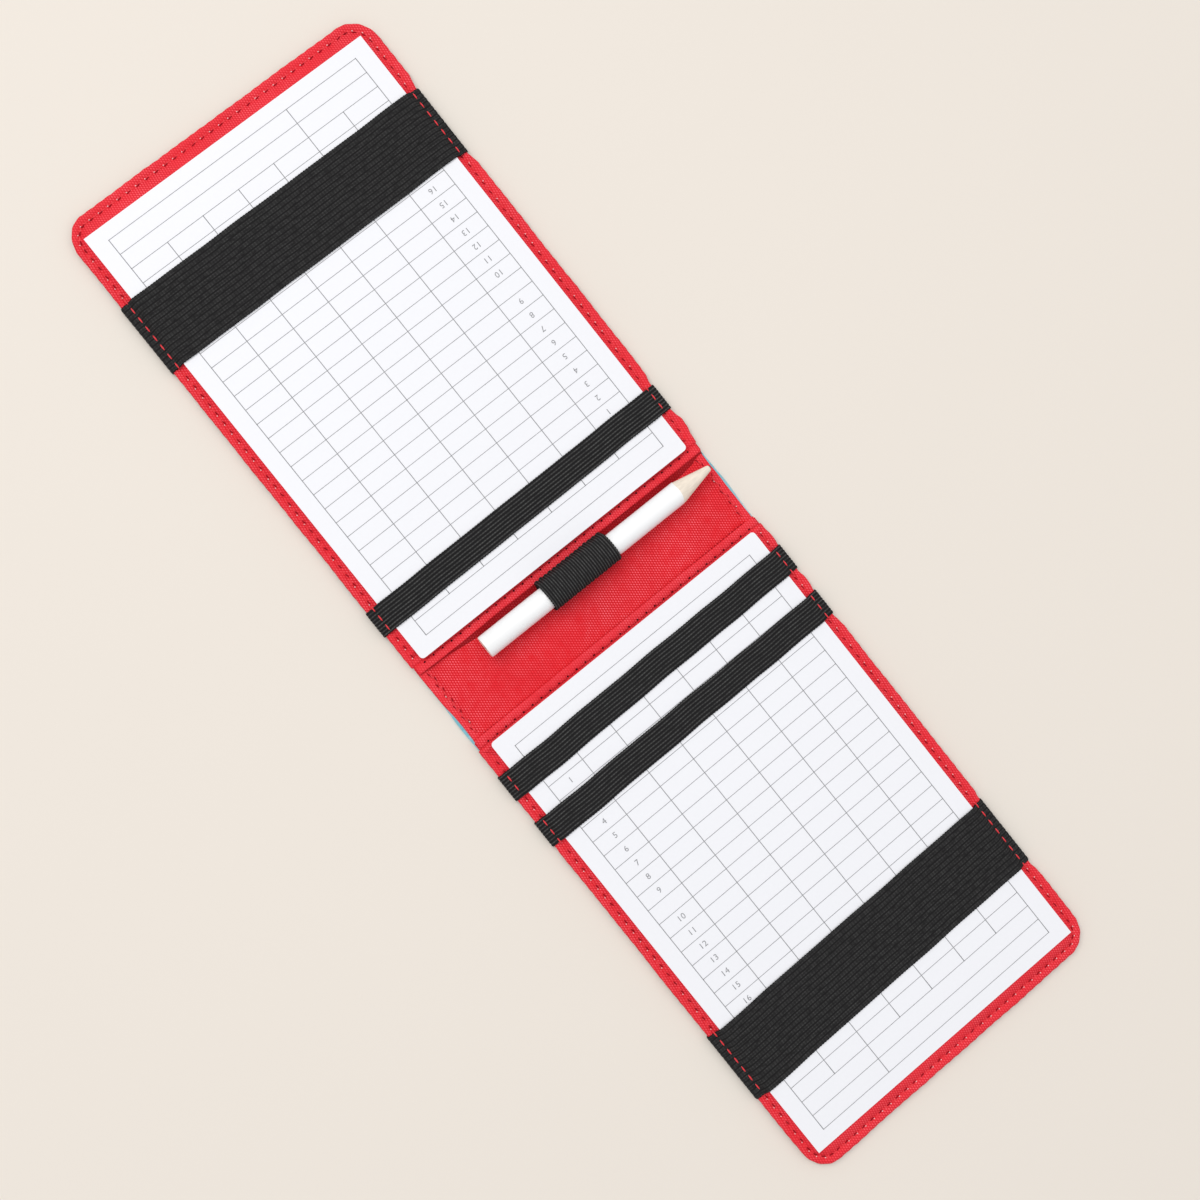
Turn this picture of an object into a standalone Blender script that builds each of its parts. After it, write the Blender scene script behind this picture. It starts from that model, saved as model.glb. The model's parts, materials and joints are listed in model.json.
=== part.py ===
"""Golf score card holder, lying open.

Two stiff leaves are joined by a soft spine that folds along three lines: one beside each leaf
and one along its middle. Each leaf is a printed cover, a board and a red lining, with elastic
bands that wrap round its long edges and hold a score card. The upper half of the spine carries
an elastic loop with a golf pencil.

Frame: X across the leaves, Y along the open holder with the upper leaf at +Y, Z up, and the
origin under the middle of the spine, on the surface that the holder lies on. Every piece is
modelled where it lies on the upper side. A lower piece is the same shape turned half round
about Z.
"""

import math

import bmesh
import bpy
from mathutils import Vector

COLLECTION_NAME = "score_card_holder"

# Clearance kept between pieces that touch
GAP = 0.0003

# Score cards
CARD_WIDTH = 0.1055
CARD_LENGTH = 0.1625
CARD_THICKNESS = 0.0003
CARD_CORNER_RADIUS = 0.0016

# Leaves
SIDE_MARGIN = 0.0040
END_MARGIN = 0.0055
CORNER_RADIUS = 0.0078
CORNER_SEGMENTS = 8
COVER_THICKNESS = 0.0006
BOARD_THICKNESS = 0.0015
LINING_THICKNESS = 0.0004
FLANGE_WIDTH = 0.0032
LINING_SLOPE_RUN = 0.0014

# Spine, measured from one leaf's fold line to the other's
SPINE_WIDTH = 0.0324
HEM_STRIP_WIDTH = 0.0029
HEM_STRIP_THICKNESS = 0.0015

# Elastic bands. An offset runs from the fold line to the middle of a band, and a setback from
# the leaf's outer end to the middle of a band
BAND_THICKNESS = 0.0008
WIDE_BAND_WIDTH = 0.0250
NARROW_BAND_WIDTH = 0.0095
BAND_TAB_LENGTH = 0.0062
BAND_STEP_RUN = 0.0005
UPPER_NARROW_OFFSET = 0.0180
UPPER_WIDE_SETBACK = 0.0403
LOWER_INNER_OFFSET = 0.0140
LOWER_OUTER_OFFSET = 0.0322
LOWER_WIDE_SETBACK = 0.0433

# Thread
THREAD_DIAMETER = 0.0004
STITCH_INSET = 0.0021
THREAD_END_MARGIN = 0.0012
THREAD_RAMP_START = 0.0010
THREAD_RAMP_END = 0.0005

# Pencil and its loop
PENCIL_DIAMETER = 0.0076
PENCIL_BARREL_LENGTH = 0.0768
PENCIL_CONE_LENGTH = 0.0128
PENCIL_BUTT_X = -0.0356
PENCIL_SIDES = 32
LEAD_DIAMETER = 0.0012
LEAD_POINT_LENGTH = 0.0005
LEAD_POINT_DIAMETER = 0.0003
WOOD_WALL_AT_POINT = 0.0003
LOOP_WIDTH = 0.0260
LOOP_THICKNESS = 0.0008
LOOP_SLACK = 0.0006
LOOP_STEPS = 28
LOOP_TAIL_OVERLAP = 0.0024

# Heights, stacked from the resting surface
LEAF_COVER_Z = BAND_THICKNESS + GAP
BOARD_Z = LEAF_COVER_Z + COVER_THICKNESS + GAP
PLATEAU_Z = BOARD_Z + BOARD_THICKNESS + GAP
CARD_Z = PLATEAU_Z + LINING_THICKNESS + GAP
BAND_OVER_CARD_Z = CARD_Z + CARD_THICKNESS + GAP
BAND_OVER_FLANGE_Z = BOARD_Z + LINING_THICKNESS + GAP
SPINE_LINING_Z = COVER_THICKNESS + GAP
SPINE_TOP_Z = SPINE_LINING_Z + LINING_THICKNESS
HEM_STRIP_Z = SPINE_TOP_Z + GAP
LEAF_FOLD_Z = BOARD_Z
CENTRE_FOLD_Z = SPINE_TOP_Z

# Places along Y on the upper side
FOLD_Y = SPINE_WIDTH / 2
LEAF_INNER_Y = FOLD_Y + GAP / 2
CARD_INNER_Y = FOLD_Y + GAP
CARD_OUTER_Y = CARD_INNER_Y + CARD_LENGTH
LEAF_OUTER_Y = CARD_OUTER_Y + END_MARGIN
HEM_OUTER_Y = FOLD_Y - GAP
HEM_INNER_Y = HEM_OUTER_Y - HEM_STRIP_WIDTH

# Places along X
LEAF_HALF_WIDTH = CARD_WIDTH / 2 + SIDE_MARGIN
STITCH_X = LEAF_HALF_WIDTH - STITCH_INSET

# Pencil place: its loop nearly touches the inner edge of the upper hem strip
PENCIL_RADIUS = PENCIL_DIAMETER / 2
LOOP_INNER_RADIUS = PENCIL_RADIUS + LOOP_SLACK
LOOP_OUTER_RADIUS = LOOP_INNER_RADIUS + LOOP_THICKNESS
LOOP_CENTRE_Y = HEM_INNER_Y - GAP - LOOP_OUTER_RADIUS
LOOP_CENTRE_Z = HEM_STRIP_Z + LOOP_OUTER_RADIUS
PENCIL_Z = HEM_STRIP_Z + LOOP_THICKNESS + GAP + PENCIL_RADIUS
BORE_RADIUS = LEAD_DIAMETER / 2 + GAP
WOOD_POINT_RADIUS = BORE_RADIUS + WOOD_WALL_AT_POINT

RED = (0.76, 0.026, 0.038)
ELASTIC_BLACK = (0.017, 0.017, 0.019)
PAPER_WHITE = (0.93, 0.92, 0.95)
GREY_BOARD = (0.35, 0.33, 0.30)
COVER_BLUE = (0.45, 0.62, 0.70)
GRAPHITE = (0.05, 0.05, 0.055)


def clear_scene():
    """Remove every object that the file starts with."""
    for old in list(bpy.data.objects):
        bpy.data.objects.remove(old, do_unlink=True)


def new_collection(name):
    """Make a collection under the scene's own."""
    collection = bpy.data.collections.new(name)
    bpy.context.scene.collection.children.link(collection)
    return collection


def new_material(name, colour, roughness):
    """Make a plain Principled material."""
    material = bpy.data.materials.new(name)
    material.use_nodes = True
    shader = material.node_tree.nodes["Principled BSDF"]
    shader.inputs["Base Color"].default_value = (*colour, 1.0)
    shader.inputs["Roughness"].default_value = roughness
    shader.inputs["Metallic"].default_value = 0.0
    return material


def new_frame(collection, name, place):
    """Make an empty on a joint's axis, which carries the pieces of one body."""
    frame = bpy.data.objects.new(name, None)
    frame.empty_display_size = 0.01
    frame.location = place
    collection.objects.link(frame)
    return frame


def add_piece(frame, piece, material, turned=False):
    """Link a piece, give it its material and hang it on its body's empty."""
    frame.users_collection[0].objects.link(piece)
    piece.data.materials.append(material)
    piece.parent = frame
    piece.location = Vector(piece.location) - Vector(frame.location)
    if turned:
        piece.rotation_euler.z = math.pi
    return piece


def mesh_object(bm, name):
    """Turn a bmesh into an object at the origin."""
    mesh = bpy.data.meshes.new(name)
    bm.to_mesh(mesh)
    bm.free()
    return bpy.data.objects.new(name, mesh)


def thicken(piece, thickness):
    """Give an open surface its thickness on the side that its normals point to."""
    solidify = piece.modifiers.new("thickness", "SOLIDIFY")
    solidify.thickness = thickness
    solidify.offset = 1.0
    solidify.use_even_offset = True


def plate_face(bm, half_width, y_inner, y_outer, z):
    """Add one flat rectangle, facing up."""
    made = bmesh.ops.create_grid(bm, x_segments=1, y_segments=1, size=0.5)
    size = (2 * half_width, y_outer - y_inner, 1.0)
    bmesh.ops.scale(bm, vec=size, verts=made["verts"])
    middle = (0.0, (y_inner + y_outer) / 2, z)
    bmesh.ops.translate(bm, vec=middle, verts=made["verts"])


def round_corners(bm, radius, outer_end):
    """Round the two corners at the outer or the inner end of a rectangle."""
    middle_y = sum(vert.co.y for vert in bm.verts) / len(bm.verts)
    corners = [vert for vert in bm.verts if (vert.co.y > middle_y) == outer_end]
    bmesh.ops.bevel(bm, geom=corners, offset=radius, segments=CORNER_SEGMENTS,
                    affect="VERTICES", profile=0.5)


def leaf_outline(z, inset=0.0):
    """The leaf's outline as one face, drawn in from the edge by an inset."""
    bm = bmesh.new()
    plate_face(bm, LEAF_HALF_WIDTH - inset, LEAF_INNER_Y + inset, LEAF_OUTER_Y - inset, z)
    round_corners(bm, max(CORNER_RADIUS - inset, CARD_CORNER_RADIUS), outer_end=True)
    return bm


def make_leaf_cover(name):
    """The printed outer cover of a leaf."""
    cover = mesh_object(leaf_outline(LEAF_COVER_Z), name)
    thicken(cover, COVER_THICKNESS)
    return cover


def make_board(name):
    """The stiffening board inside a leaf."""
    inset = FLANGE_WIDTH + LINING_SLOPE_RUN + GAP
    board = mesh_object(leaf_outline(BOARD_Z, inset), name)
    thicken(board, BOARD_THICKNESS)
    return board


def make_leaf_lining(name):
    """The red lining: a flange sewn down round the edge, and a field raised by the board."""
    bm = leaf_outline(BOARD_Z)
    field = bm.faces[:]
    for width, rise in ((FLANGE_WIDTH, 0.0), (LINING_SLOPE_RUN, PLATEAU_Z - BOARD_Z)):
        bmesh.ops.inset_region(bm, faces=field, thickness=width, depth=rise,
                               use_boundary=True, use_even_offset=True)
    lining = mesh_object(bm, name)
    thicken(lining, LINING_THICKNESS)
    return lining


def make_card(name):
    """A score card, with its two inner corners slightly rounded."""
    bm = bmesh.new()
    plate_face(bm, CARD_WIDTH / 2, CARD_INNER_Y, CARD_OUTER_Y, CARD_Z)
    round_corners(bm, CARD_CORNER_RADIUS, outer_end=False)
    card = mesh_object(bm, name)
    thicken(card, CARD_THICKNESS)
    return card


def band_path():
    """The band's inner face in the XZ plane, from one back tab to the other."""
    edge_x = LEAF_HALF_WIDTH + GAP
    step_top_x = CARD_WIDTH / 2 + GAP + BAND_STEP_RUN / 4
    half = [(edge_x - GAP - BAND_TAB_LENGTH, BAND_THICKNESS),
            (edge_x, BAND_THICKNESS),
            (edge_x, BAND_OVER_FLANGE_Z),
            (step_top_x + BAND_STEP_RUN, BAND_OVER_FLANGE_Z),
            (step_top_x, BAND_OVER_CARD_Z)]
    return [(-x, z) for x, z in half] + half[::-1]


def make_band(name, centre_y, width):
    """An elastic band over the card, wrapped round both long edges of the leaf."""
    bm = bmesh.new()
    verts = [bm.verts.new((x, centre_y - width / 2, z)) for x, z in band_path()]
    chain = [bm.edges.new(pair) for pair in zip(verts, verts[1:])]
    swept = bmesh.ops.extrude_edge_only(bm, edges=chain)
    moved = [item for item in swept["geom"] if isinstance(item, bmesh.types.BMVert)]
    bmesh.ops.translate(bm, vec=(0.0, width, 0.0), verts=moved)
    top = max(bm.faces, key=lambda face: face.calc_center_median().z)
    top.normal_update()
    if top.normal.z < 0:
        bmesh.ops.reverse_faces(bm, faces=bm.faces[:])
    band = mesh_object(bm, name)
    thicken(band, BAND_THICKNESS)
    return band


def make_thread(name, points):
    """A thread laid along a chain of points."""
    curve = bpy.data.curves.new(name, "CURVE")
    curve.dimensions = "3D"
    curve.bevel_depth = THREAD_DIAMETER / 2
    curve.bevel_resolution = 1
    curve.use_fill_caps = True
    spline = curve.splines.new("POLY")
    spline.points.add(len(points) - 1)
    for target, point in zip(spline.points, points):
        target.co = (*point, 1.0)
    return bpy.data.objects.new(name, curve)


def mirrored_run(half):
    """A run of points at -X followed by the same run at +X, backwards."""
    return [(-x, y, z) for x, y, z in half] + half[::-1]


def make_edge_thread(name, bands):
    """The stitching round a leaf: up one side, round the end and down the other side."""
    low = BOARD_Z + LINING_THICKNESS + GAP + THREAD_DIAMETER / 2
    high = BAND_OVER_FLANGE_Z + BAND_THICKNESS + GAP + THREAD_DIAMETER / 2
    side = [(STITCH_X, LEAF_INNER_Y + THREAD_END_MARGIN, low)]
    for centre_y, width in sorted(bands):
        near = centre_y - width / 2
        far = centre_y + width / 2
        side.append((STITCH_X, near - THREAD_RAMP_START, low))
        side.append((STITCH_X, near - THREAD_RAMP_END, high))
        side.append((STITCH_X, far + THREAD_RAMP_END, high))
        side.append((STITCH_X, far + THREAD_RAMP_START, low))
    arc_radius = CORNER_RADIUS - STITCH_INSET
    arc_x = LEAF_HALF_WIDTH - CORNER_RADIUS
    arc_y = LEAF_OUTER_Y - CORNER_RADIUS
    for step in range(CORNER_SEGMENTS + 1):
        angle = math.radians(90) * step / CORNER_SEGMENTS
        side.append((arc_x + arc_radius * math.cos(angle),
                     arc_y + arc_radius * math.sin(angle), low))
    return make_thread(name, mirrored_run(side))


def make_spine_thread(name):
    """The stitching of half the spine: along both short ends and along the hem strip."""
    low = SPINE_TOP_Z + GAP + THREAD_DIAMETER / 2
    high = HEM_STRIP_Z + HEM_STRIP_THICKNESS + GAP + THREAD_DIAMETER / 2
    side = [(STITCH_X, THREAD_END_MARGIN, low),
            (STITCH_X, HEM_INNER_Y - THREAD_RAMP_START, low),
            (STITCH_X, HEM_INNER_Y - THREAD_RAMP_END, high),
            (STITCH_X, (HEM_INNER_Y + HEM_OUTER_Y) / 2, high)]
    return make_thread(name, mirrored_run(side))


def make_box(name, low, high):
    """A box between two corners."""
    low = Vector(low)
    high = Vector(high)
    bm = bmesh.new()
    bmesh.ops.create_cube(bm, size=1.0)
    bmesh.ops.scale(bm, vec=high - low, verts=bm.verts)
    bmesh.ops.translate(bm, vec=(low + high) / 2, verts=bm.verts)
    return mesh_object(bm, name)


def make_spine_layer(name, z, thickness):
    """One layer of half the spine, between the middle line and the leaf's fold line."""
    return make_box(name, (-LEAF_HALF_WIDTH, GAP / 2, z),
                    (LEAF_HALF_WIDTH, FOLD_Y - GAP / 2, z + thickness))


def make_hem_strip(name):
    """The folded hem that runs along the spine beside the card."""
    return make_box(name, (-LEAF_HALF_WIDTH, HEM_INNER_Y, HEM_STRIP_Z),
                    (LEAF_HALF_WIDTH, HEM_OUTER_Y, HEM_STRIP_Z + HEM_STRIP_THICKNESS))


def cut(piece, cutter, cutters):
    """Take a cutter's shape out of a piece."""
    cutter.hide_render = True
    cutter.display_type = "WIRE"
    cutters.objects.link(cutter)
    cutter.location = piece.location
    cutter.rotation_euler = piece.rotation_euler
    cutter.parent = piece.parent
    boolean = piece.modifiers.new(cutter.name, "BOOLEAN")
    boolean.operation = "DIFFERENCE"
    boolean.solver = "EXACT"
    boolean.object = cutter


def make_loop_notch():
    """The shape cut from under the upper hem strip, where the loop's tail passes."""
    half = LOOP_WIDTH / 2 + GAP
    return make_box("loop_tail_notch", (-half, HEM_INNER_Y - GAP, HEM_STRIP_Z - GAP),
                    (half, HEM_INNER_Y + LOOP_TAIL_OVERLAP + GAP,
                     HEM_STRIP_Z + LOOP_THICKNESS + GAP))


def loop_outline(radius, bottom_z):
    """One side of the loop's section: round the pencil, then straight down to the hem strip."""
    points = []
    for step in range(LOOP_STEPS + 1):
        angle = math.radians(-90 - 270 * step / LOOP_STEPS)
        points.append((LOOP_CENTRE_Y + radius * math.cos(angle),
                       LOOP_CENTRE_Z + radius * math.sin(angle)))
    points.append((LOOP_CENTRE_Y + radius, bottom_z))
    return points


def make_pencil_loop(name):
    """The elastic loop, with its tail sewn in under the upper hem strip."""
    tail_end = HEM_INNER_Y + LOOP_TAIL_OVERLAP
    tail_top = HEM_STRIP_Z + LOOP_THICKNESS
    outer = loop_outline(LOOP_OUTER_RADIUS, tail_top)
    outer += [(tail_end, tail_top), (tail_end, HEM_STRIP_Z)]
    inner = loop_outline(LOOP_INNER_RADIUS, tail_top)
    curve = bpy.data.curves.new(name, "CURVE")
    curve.dimensions = "2D"
    curve.fill_mode = "BOTH"
    curve.extrude = LOOP_WIDTH / 2
    for outline in (outer, inner):
        spline = curve.splines.new("POLY")
        spline.points.add(len(outline) - 1)
        for target, (y, z) in zip(spline.points, outline):
            target.co = (y, z, 0.0, 1.0)
        spline.use_cyclic_u = True
    loop = bpy.data.objects.new(name, curve)
    loop.rotation_euler = (math.radians(90), 0.0, math.radians(90))
    return loop


def add_rod(bm, radius, length):
    """Add a closed rod that stands on the origin along Z, and return its top face."""
    made = bmesh.ops.create_cone(bm, cap_ends=True, segments=PENCIL_SIDES,
                                 radius1=radius, radius2=radius, depth=length)
    bmesh.ops.translate(bm, vec=(0.0, 0.0, length / 2), verts=made["verts"])
    return max(bm.faces, key=lambda face: face.calc_center_median().z)


def lay_on_pencil_axis(piece):
    """Turn a rod that stands along Z onto the pencil's axis, along X."""
    piece.rotation_euler = (0.0, math.radians(90), 0.0)
    piece.location = (PENCIL_BUTT_X, LOOP_CENTRE_Y, PENCIL_Z)
    return piece


def make_pencil_casing(name):
    """The painted wooden casing with its sharpened cone."""
    bm = bmesh.new()
    end = add_rod(bm, PENCIL_RADIUS, PENCIL_BARREL_LENGTH)
    bmesh.ops.inset_region(bm, faces=[end], thickness=PENCIL_RADIUS - WOOD_POINT_RADIUS,
                           depth=PENCIL_CONE_LENGTH, use_even_offset=True)
    return lay_on_pencil_axis(mesh_object(bm, name))


def make_lead(name):
    """The lead, from the butt to a short point past the wood."""
    bm = bmesh.new()
    end = add_rod(bm, LEAD_DIAMETER / 2, PENCIL_BARREL_LENGTH + PENCIL_CONE_LENGTH)
    bmesh.ops.inset_region(bm, faces=[end], depth=LEAD_POINT_LENGTH, use_even_offset=True,
                           thickness=(LEAD_DIAMETER - LEAD_POINT_DIAMETER) / 2)
    return lay_on_pencil_axis(mesh_object(bm, name))


def make_bore_cutter():
    """The lead's bore, which runs out past both ends of the casing."""
    bm = bmesh.new()
    length = PENCIL_BARREL_LENGTH + PENCIL_CONE_LENGTH + 4 * GAP
    add_rod(bm, BORE_RADIUS, length)
    bmesh.ops.translate(bm, vec=(0.0, 0.0, -2 * GAP), verts=bm.verts)
    return mesh_object(bm, "lead_bore")


def shade_round(piece):
    """Shade a round piece smooth and keep its rims sharp."""
    piece.data.shade_smooth()
    piece.data.set_sharp_from_angle(angle=math.radians(30))


def build_leaf(frame, prefix, bands, materials, turned):
    """Cover, board, lining, bands and edge thread of one leaf."""
    add_piece(frame, make_leaf_cover(prefix + "_cover"), materials["cover"], turned)
    add_piece(frame, make_board(prefix + "_board"), materials["board"], turned)
    add_piece(frame, make_leaf_lining(prefix + "_lining"), materials["lining"], turned)
    for band_name, centre_y, width in bands:
        band = make_band(prefix + band_name, centre_y, width)
        add_piece(frame, band, materials["elastic"], turned)
    spans = [(centre_y, width) for _, centre_y, width in bands]
    thread = make_edge_thread(prefix + "_edge_thread", spans)
    add_piece(frame, thread, materials["thread"], turned)


def build_spine_half(frame, side, materials, turned):
    """Cover, lining, hem strip and thread of half the spine. Returns the hem strip."""
    cover = make_spine_layer("spine_cover_" + side, 0.0, COVER_THICKNESS)
    add_piece(frame, cover, materials["cover"], turned)
    lining = make_spine_layer("spine_lining_" + side, SPINE_LINING_Z, LINING_THICKNESS)
    add_piece(frame, lining, materials["lining"], turned)
    strip = make_hem_strip(side + "_hem_strip")
    add_piece(frame, strip, materials["lining"], turned)
    add_piece(frame, make_spine_thread(side + "_spine_thread"), materials["thread"], turned)
    return strip


def build_pencil(frame, cutters, materials):
    """The pencil's casing and lead."""
    casing = add_piece(frame, make_pencil_casing("pencil_casing"), materials["paint"])
    cut(casing, make_bore_cutter(), cutters)
    shade_round(casing)
    lead = add_piece(frame, make_lead("pencil_lead"), materials["lead"])
    shade_round(lead)


def build():
    """Build the whole holder."""
    clear_scene()
    parts = new_collection(COLLECTION_NAME)
    cutters = new_collection("cutters")
    materials = {
        "cover": new_material("printed_cover", COVER_BLUE, 0.7),
        "board": new_material("grey_board", GREY_BOARD, 0.9),
        "lining": new_material("red_lining", RED, 0.6),
        "elastic": new_material("black_elastic", ELASTIC_BLACK, 0.8),
        "thread": new_material("red_thread", RED, 0.5),
        "card": new_material("card_paper", PAPER_WHITE, 0.7),
        "paint": new_material("pencil_paint", PAPER_WHITE, 0.35),
        "lead": new_material("pencil_graphite", GRAPHITE, 0.4),
    }
    lower_leaf = new_frame(parts, "lower_leaf_frame", (0.0, 0.0, 0.0))
    spine_lower = new_frame(parts, "lower_fold_axis", (0.0, -FOLD_Y, LEAF_FOLD_Z))
    spine_upper = new_frame(parts, "centre_fold_axis", (0.0, 0.0, CENTRE_FOLD_Z))
    upper_leaf = new_frame(parts, "upper_fold_axis", (0.0, FOLD_Y, LEAF_FOLD_Z))
    pencil = new_frame(parts, "pencil_axis", (PENCIL_BUTT_X, LOOP_CENTRE_Y, PENCIL_Z))
    upper_card = new_frame(parts, "upper_card_axis", (0.0, CARD_INNER_Y, CARD_Z))
    lower_card = new_frame(parts, "lower_card_axis", (0.0, -CARD_INNER_Y, CARD_Z))

    upper_bands = [
        ("_narrow_band", FOLD_Y + UPPER_NARROW_OFFSET, NARROW_BAND_WIDTH),
        ("_wide_band", LEAF_OUTER_Y - UPPER_WIDE_SETBACK, WIDE_BAND_WIDTH),
    ]
    lower_bands = [
        ("_inner_narrow_band", FOLD_Y + LOWER_INNER_OFFSET, NARROW_BAND_WIDTH),
        ("_outer_narrow_band", FOLD_Y + LOWER_OUTER_OFFSET, NARROW_BAND_WIDTH),
        ("_wide_band", LEAF_OUTER_Y - LOWER_WIDE_SETBACK, WIDE_BAND_WIDTH),
    ]
    build_leaf(lower_leaf, "lower", lower_bands, materials, turned=True)
    build_spine_half(spine_lower, "lower", materials, turned=True)
    upper_strip = build_spine_half(spine_upper, "upper", materials, turned=False)
    cut(upper_strip, make_loop_notch(), cutters)
    add_piece(spine_upper, make_pencil_loop("pencil_loop"), materials["elastic"])
    build_leaf(upper_leaf, "upper", upper_bands, materials, turned=False)
    build_pencil(pencil, cutters, materials)
    add_piece(upper_card, make_card("upper_score_card"), materials["card"])
    add_piece(lower_card, make_card("lower_score_card"), materials["card"], turned=True)


build()
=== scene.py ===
"""Golf score card holder: cloth, elastic, stitching, printed cards and a pencil."""

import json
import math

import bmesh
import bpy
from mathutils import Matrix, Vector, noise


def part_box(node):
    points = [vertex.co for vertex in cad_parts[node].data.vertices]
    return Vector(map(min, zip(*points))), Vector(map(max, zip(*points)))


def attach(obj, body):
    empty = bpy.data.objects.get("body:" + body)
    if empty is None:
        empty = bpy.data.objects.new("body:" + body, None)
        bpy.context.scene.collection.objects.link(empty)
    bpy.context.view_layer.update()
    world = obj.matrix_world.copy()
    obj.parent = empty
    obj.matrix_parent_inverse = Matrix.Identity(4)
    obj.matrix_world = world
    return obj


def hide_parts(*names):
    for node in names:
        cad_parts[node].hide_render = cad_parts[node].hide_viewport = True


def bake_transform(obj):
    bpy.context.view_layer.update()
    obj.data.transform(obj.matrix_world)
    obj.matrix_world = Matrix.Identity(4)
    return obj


bl_info = {
    "name": "Score card holder",
    "version": (1, 0, 0),
    "blender": (4, 5, 0),
    "location": "View3D > Sidebar > Card holder",
    "description": "Builds the cloth, elastic, stitching, cards and pencil of a card holder",
    "category": "Object",
}

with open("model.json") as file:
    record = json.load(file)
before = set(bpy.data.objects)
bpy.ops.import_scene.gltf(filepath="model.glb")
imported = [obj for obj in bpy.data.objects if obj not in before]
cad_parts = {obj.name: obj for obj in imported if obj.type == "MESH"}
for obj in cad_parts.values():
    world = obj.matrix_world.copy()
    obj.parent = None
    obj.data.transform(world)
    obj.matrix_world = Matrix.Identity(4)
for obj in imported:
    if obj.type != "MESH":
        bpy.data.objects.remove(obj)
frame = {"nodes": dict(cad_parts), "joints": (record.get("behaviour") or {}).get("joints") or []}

MM = 0.001
# Where the needle holes run across a hem strip, as a share of its width
HOLE_SHARE = 0.86
# How far the cover's edge lies inside the lining's
COVER_INSET = 0.35 * MM
# How far the loop was sewn off its mark, towards the pencil's point
LOOP_DRIFT = 1.6 * MM
# The CAD's joints, by name
JOINTS = {joint["name"]: joint for joint in frame["joints"]}
SIDES = (("upper", False), ("lower", True))

# The upper side's places, in metres. The lower side is the same, turned half round about Z
LEAF_LOW, LEAF_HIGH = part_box("upper_cover")
LINING_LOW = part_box("upper_lining")[0]
CARD_LOW, CARD_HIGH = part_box("upper_score_card")
STRIP_LOW, STRIP_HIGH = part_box("upper_hem_strip")
LOOP_LOW, LOOP_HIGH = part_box("pencil_loop")
CASING_LOW, CASING_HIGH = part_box("pencil_casing")
LEAD_LOW, LEAD_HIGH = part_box("pencil_lead")
SPINE_LINING_LOW, SPINE_LINING_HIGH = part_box("spine_lining_upper")
THREAD_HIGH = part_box("upper_edge_thread")[1]
FOLD_Y = JOINTS["upper_fold"]["pos_m"][1]
HALF_WIDTH = LEAF_HIGH.x
THREAD_RADIUS = 0.2 * MM
STITCH_INSET = HALF_WIDTH - THREAD_HIGH.x + THREAD_RADIUS
BANDS = {
    "upper": ("narrow_band", "wide_band"),
    "lower": ("inner_narrow_band", "outer_narrow_band", "wide_band"),
}
# How far the soft border of a leaf runs past its pattern: at the end, and along the +X side
BORDER_EXTRA = {"upper": (1.4 * MM, 0.85 * MM), "lower": (0.95 * MM, 0.55 * MM)}


def band_places():
    """The middle along Y on the upper side, and the width, of every band."""
    places = {}
    for side, bands in BANDS.items():
        for band in bands:
            low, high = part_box(f"{side}_{band}")
            places[side, band] = (abs(low.y + high.y) / 2, high.y - low.y)
    return places


BAND_PLACES = band_places()


# ---------------------------------------------------------------- properties

class HolderCloth(bpy.types.PropertyGroup):
    """Sizes and colours of the red lining and the outer cover."""

    corner_radius: bpy.props.FloatProperty(
        name="Corner radius", description="Radius of the leaves' outer corners",
        default=7.8 * MM, subtype="DISTANCE", unit="LENGTH")
    lining_thickness: bpy.props.FloatProperty(
        name="Lining thickness", description="Thickness of the red cloth",
        default=0.3 * MM, subtype="DISTANCE", unit="LENGTH")
    cover_thickness: bpy.props.FloatProperty(
        name="Cover thickness", description="Thickness of the outer cloth",
        default=0.5 * MM, subtype="DISTANCE", unit="LENGTH")
    pucker: bpy.props.FloatProperty(
        name="Pucker", description="How far each stitch pulls the cloth down",
        default=0.16 * MM, subtype="DISTANCE", unit="LENGTH")
    waviness: bpy.props.FloatProperty(
        name="Waviness", description="How far the sewn edges wander",
        default=0.16 * MM, subtype="DISTANCE", unit="LENGTH")
    weave_pitch: bpy.props.FloatProperty(
        name="Weave pitch", description="Distance between the twill's ribs",
        default=0.76 * MM, subtype="DISTANCE", unit="LENGTH")
    red: bpy.props.FloatVectorProperty(
        name="Red", description="Colour of the spine lining", default=(0.76, 0.004, 0.013),
        size=3, subtype="COLOR")
    border_red: bpy.props.FloatVectorProperty(
        name="Border red", description="Colour of the leaf linings and hem strips",
        default=(0.80, 0.019, 0.032), size=3, subtype="COLOR")
    # Painted highlight colour of the raised yarns' tops, standing in for the light they catch
    red_light: bpy.props.FloatVectorProperty(
        name="Light red", description="Colour of the weave's raised yarns",
        default=(1.0, 0.235, 0.285), size=3, subtype="COLOR")
    ground: bpy.props.FloatVectorProperty(
        name="Cover ground", description="Ground colour of the printed cover",
        default=(0.66, 0.69, 0.72), size=3, subtype="COLOR")
    sky: bpy.props.FloatVectorProperty(
        name="Cover blue", description="Colour of the cover's blue blotches",
        default=(0.16, 0.50, 0.60), size=3, subtype="COLOR")


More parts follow.
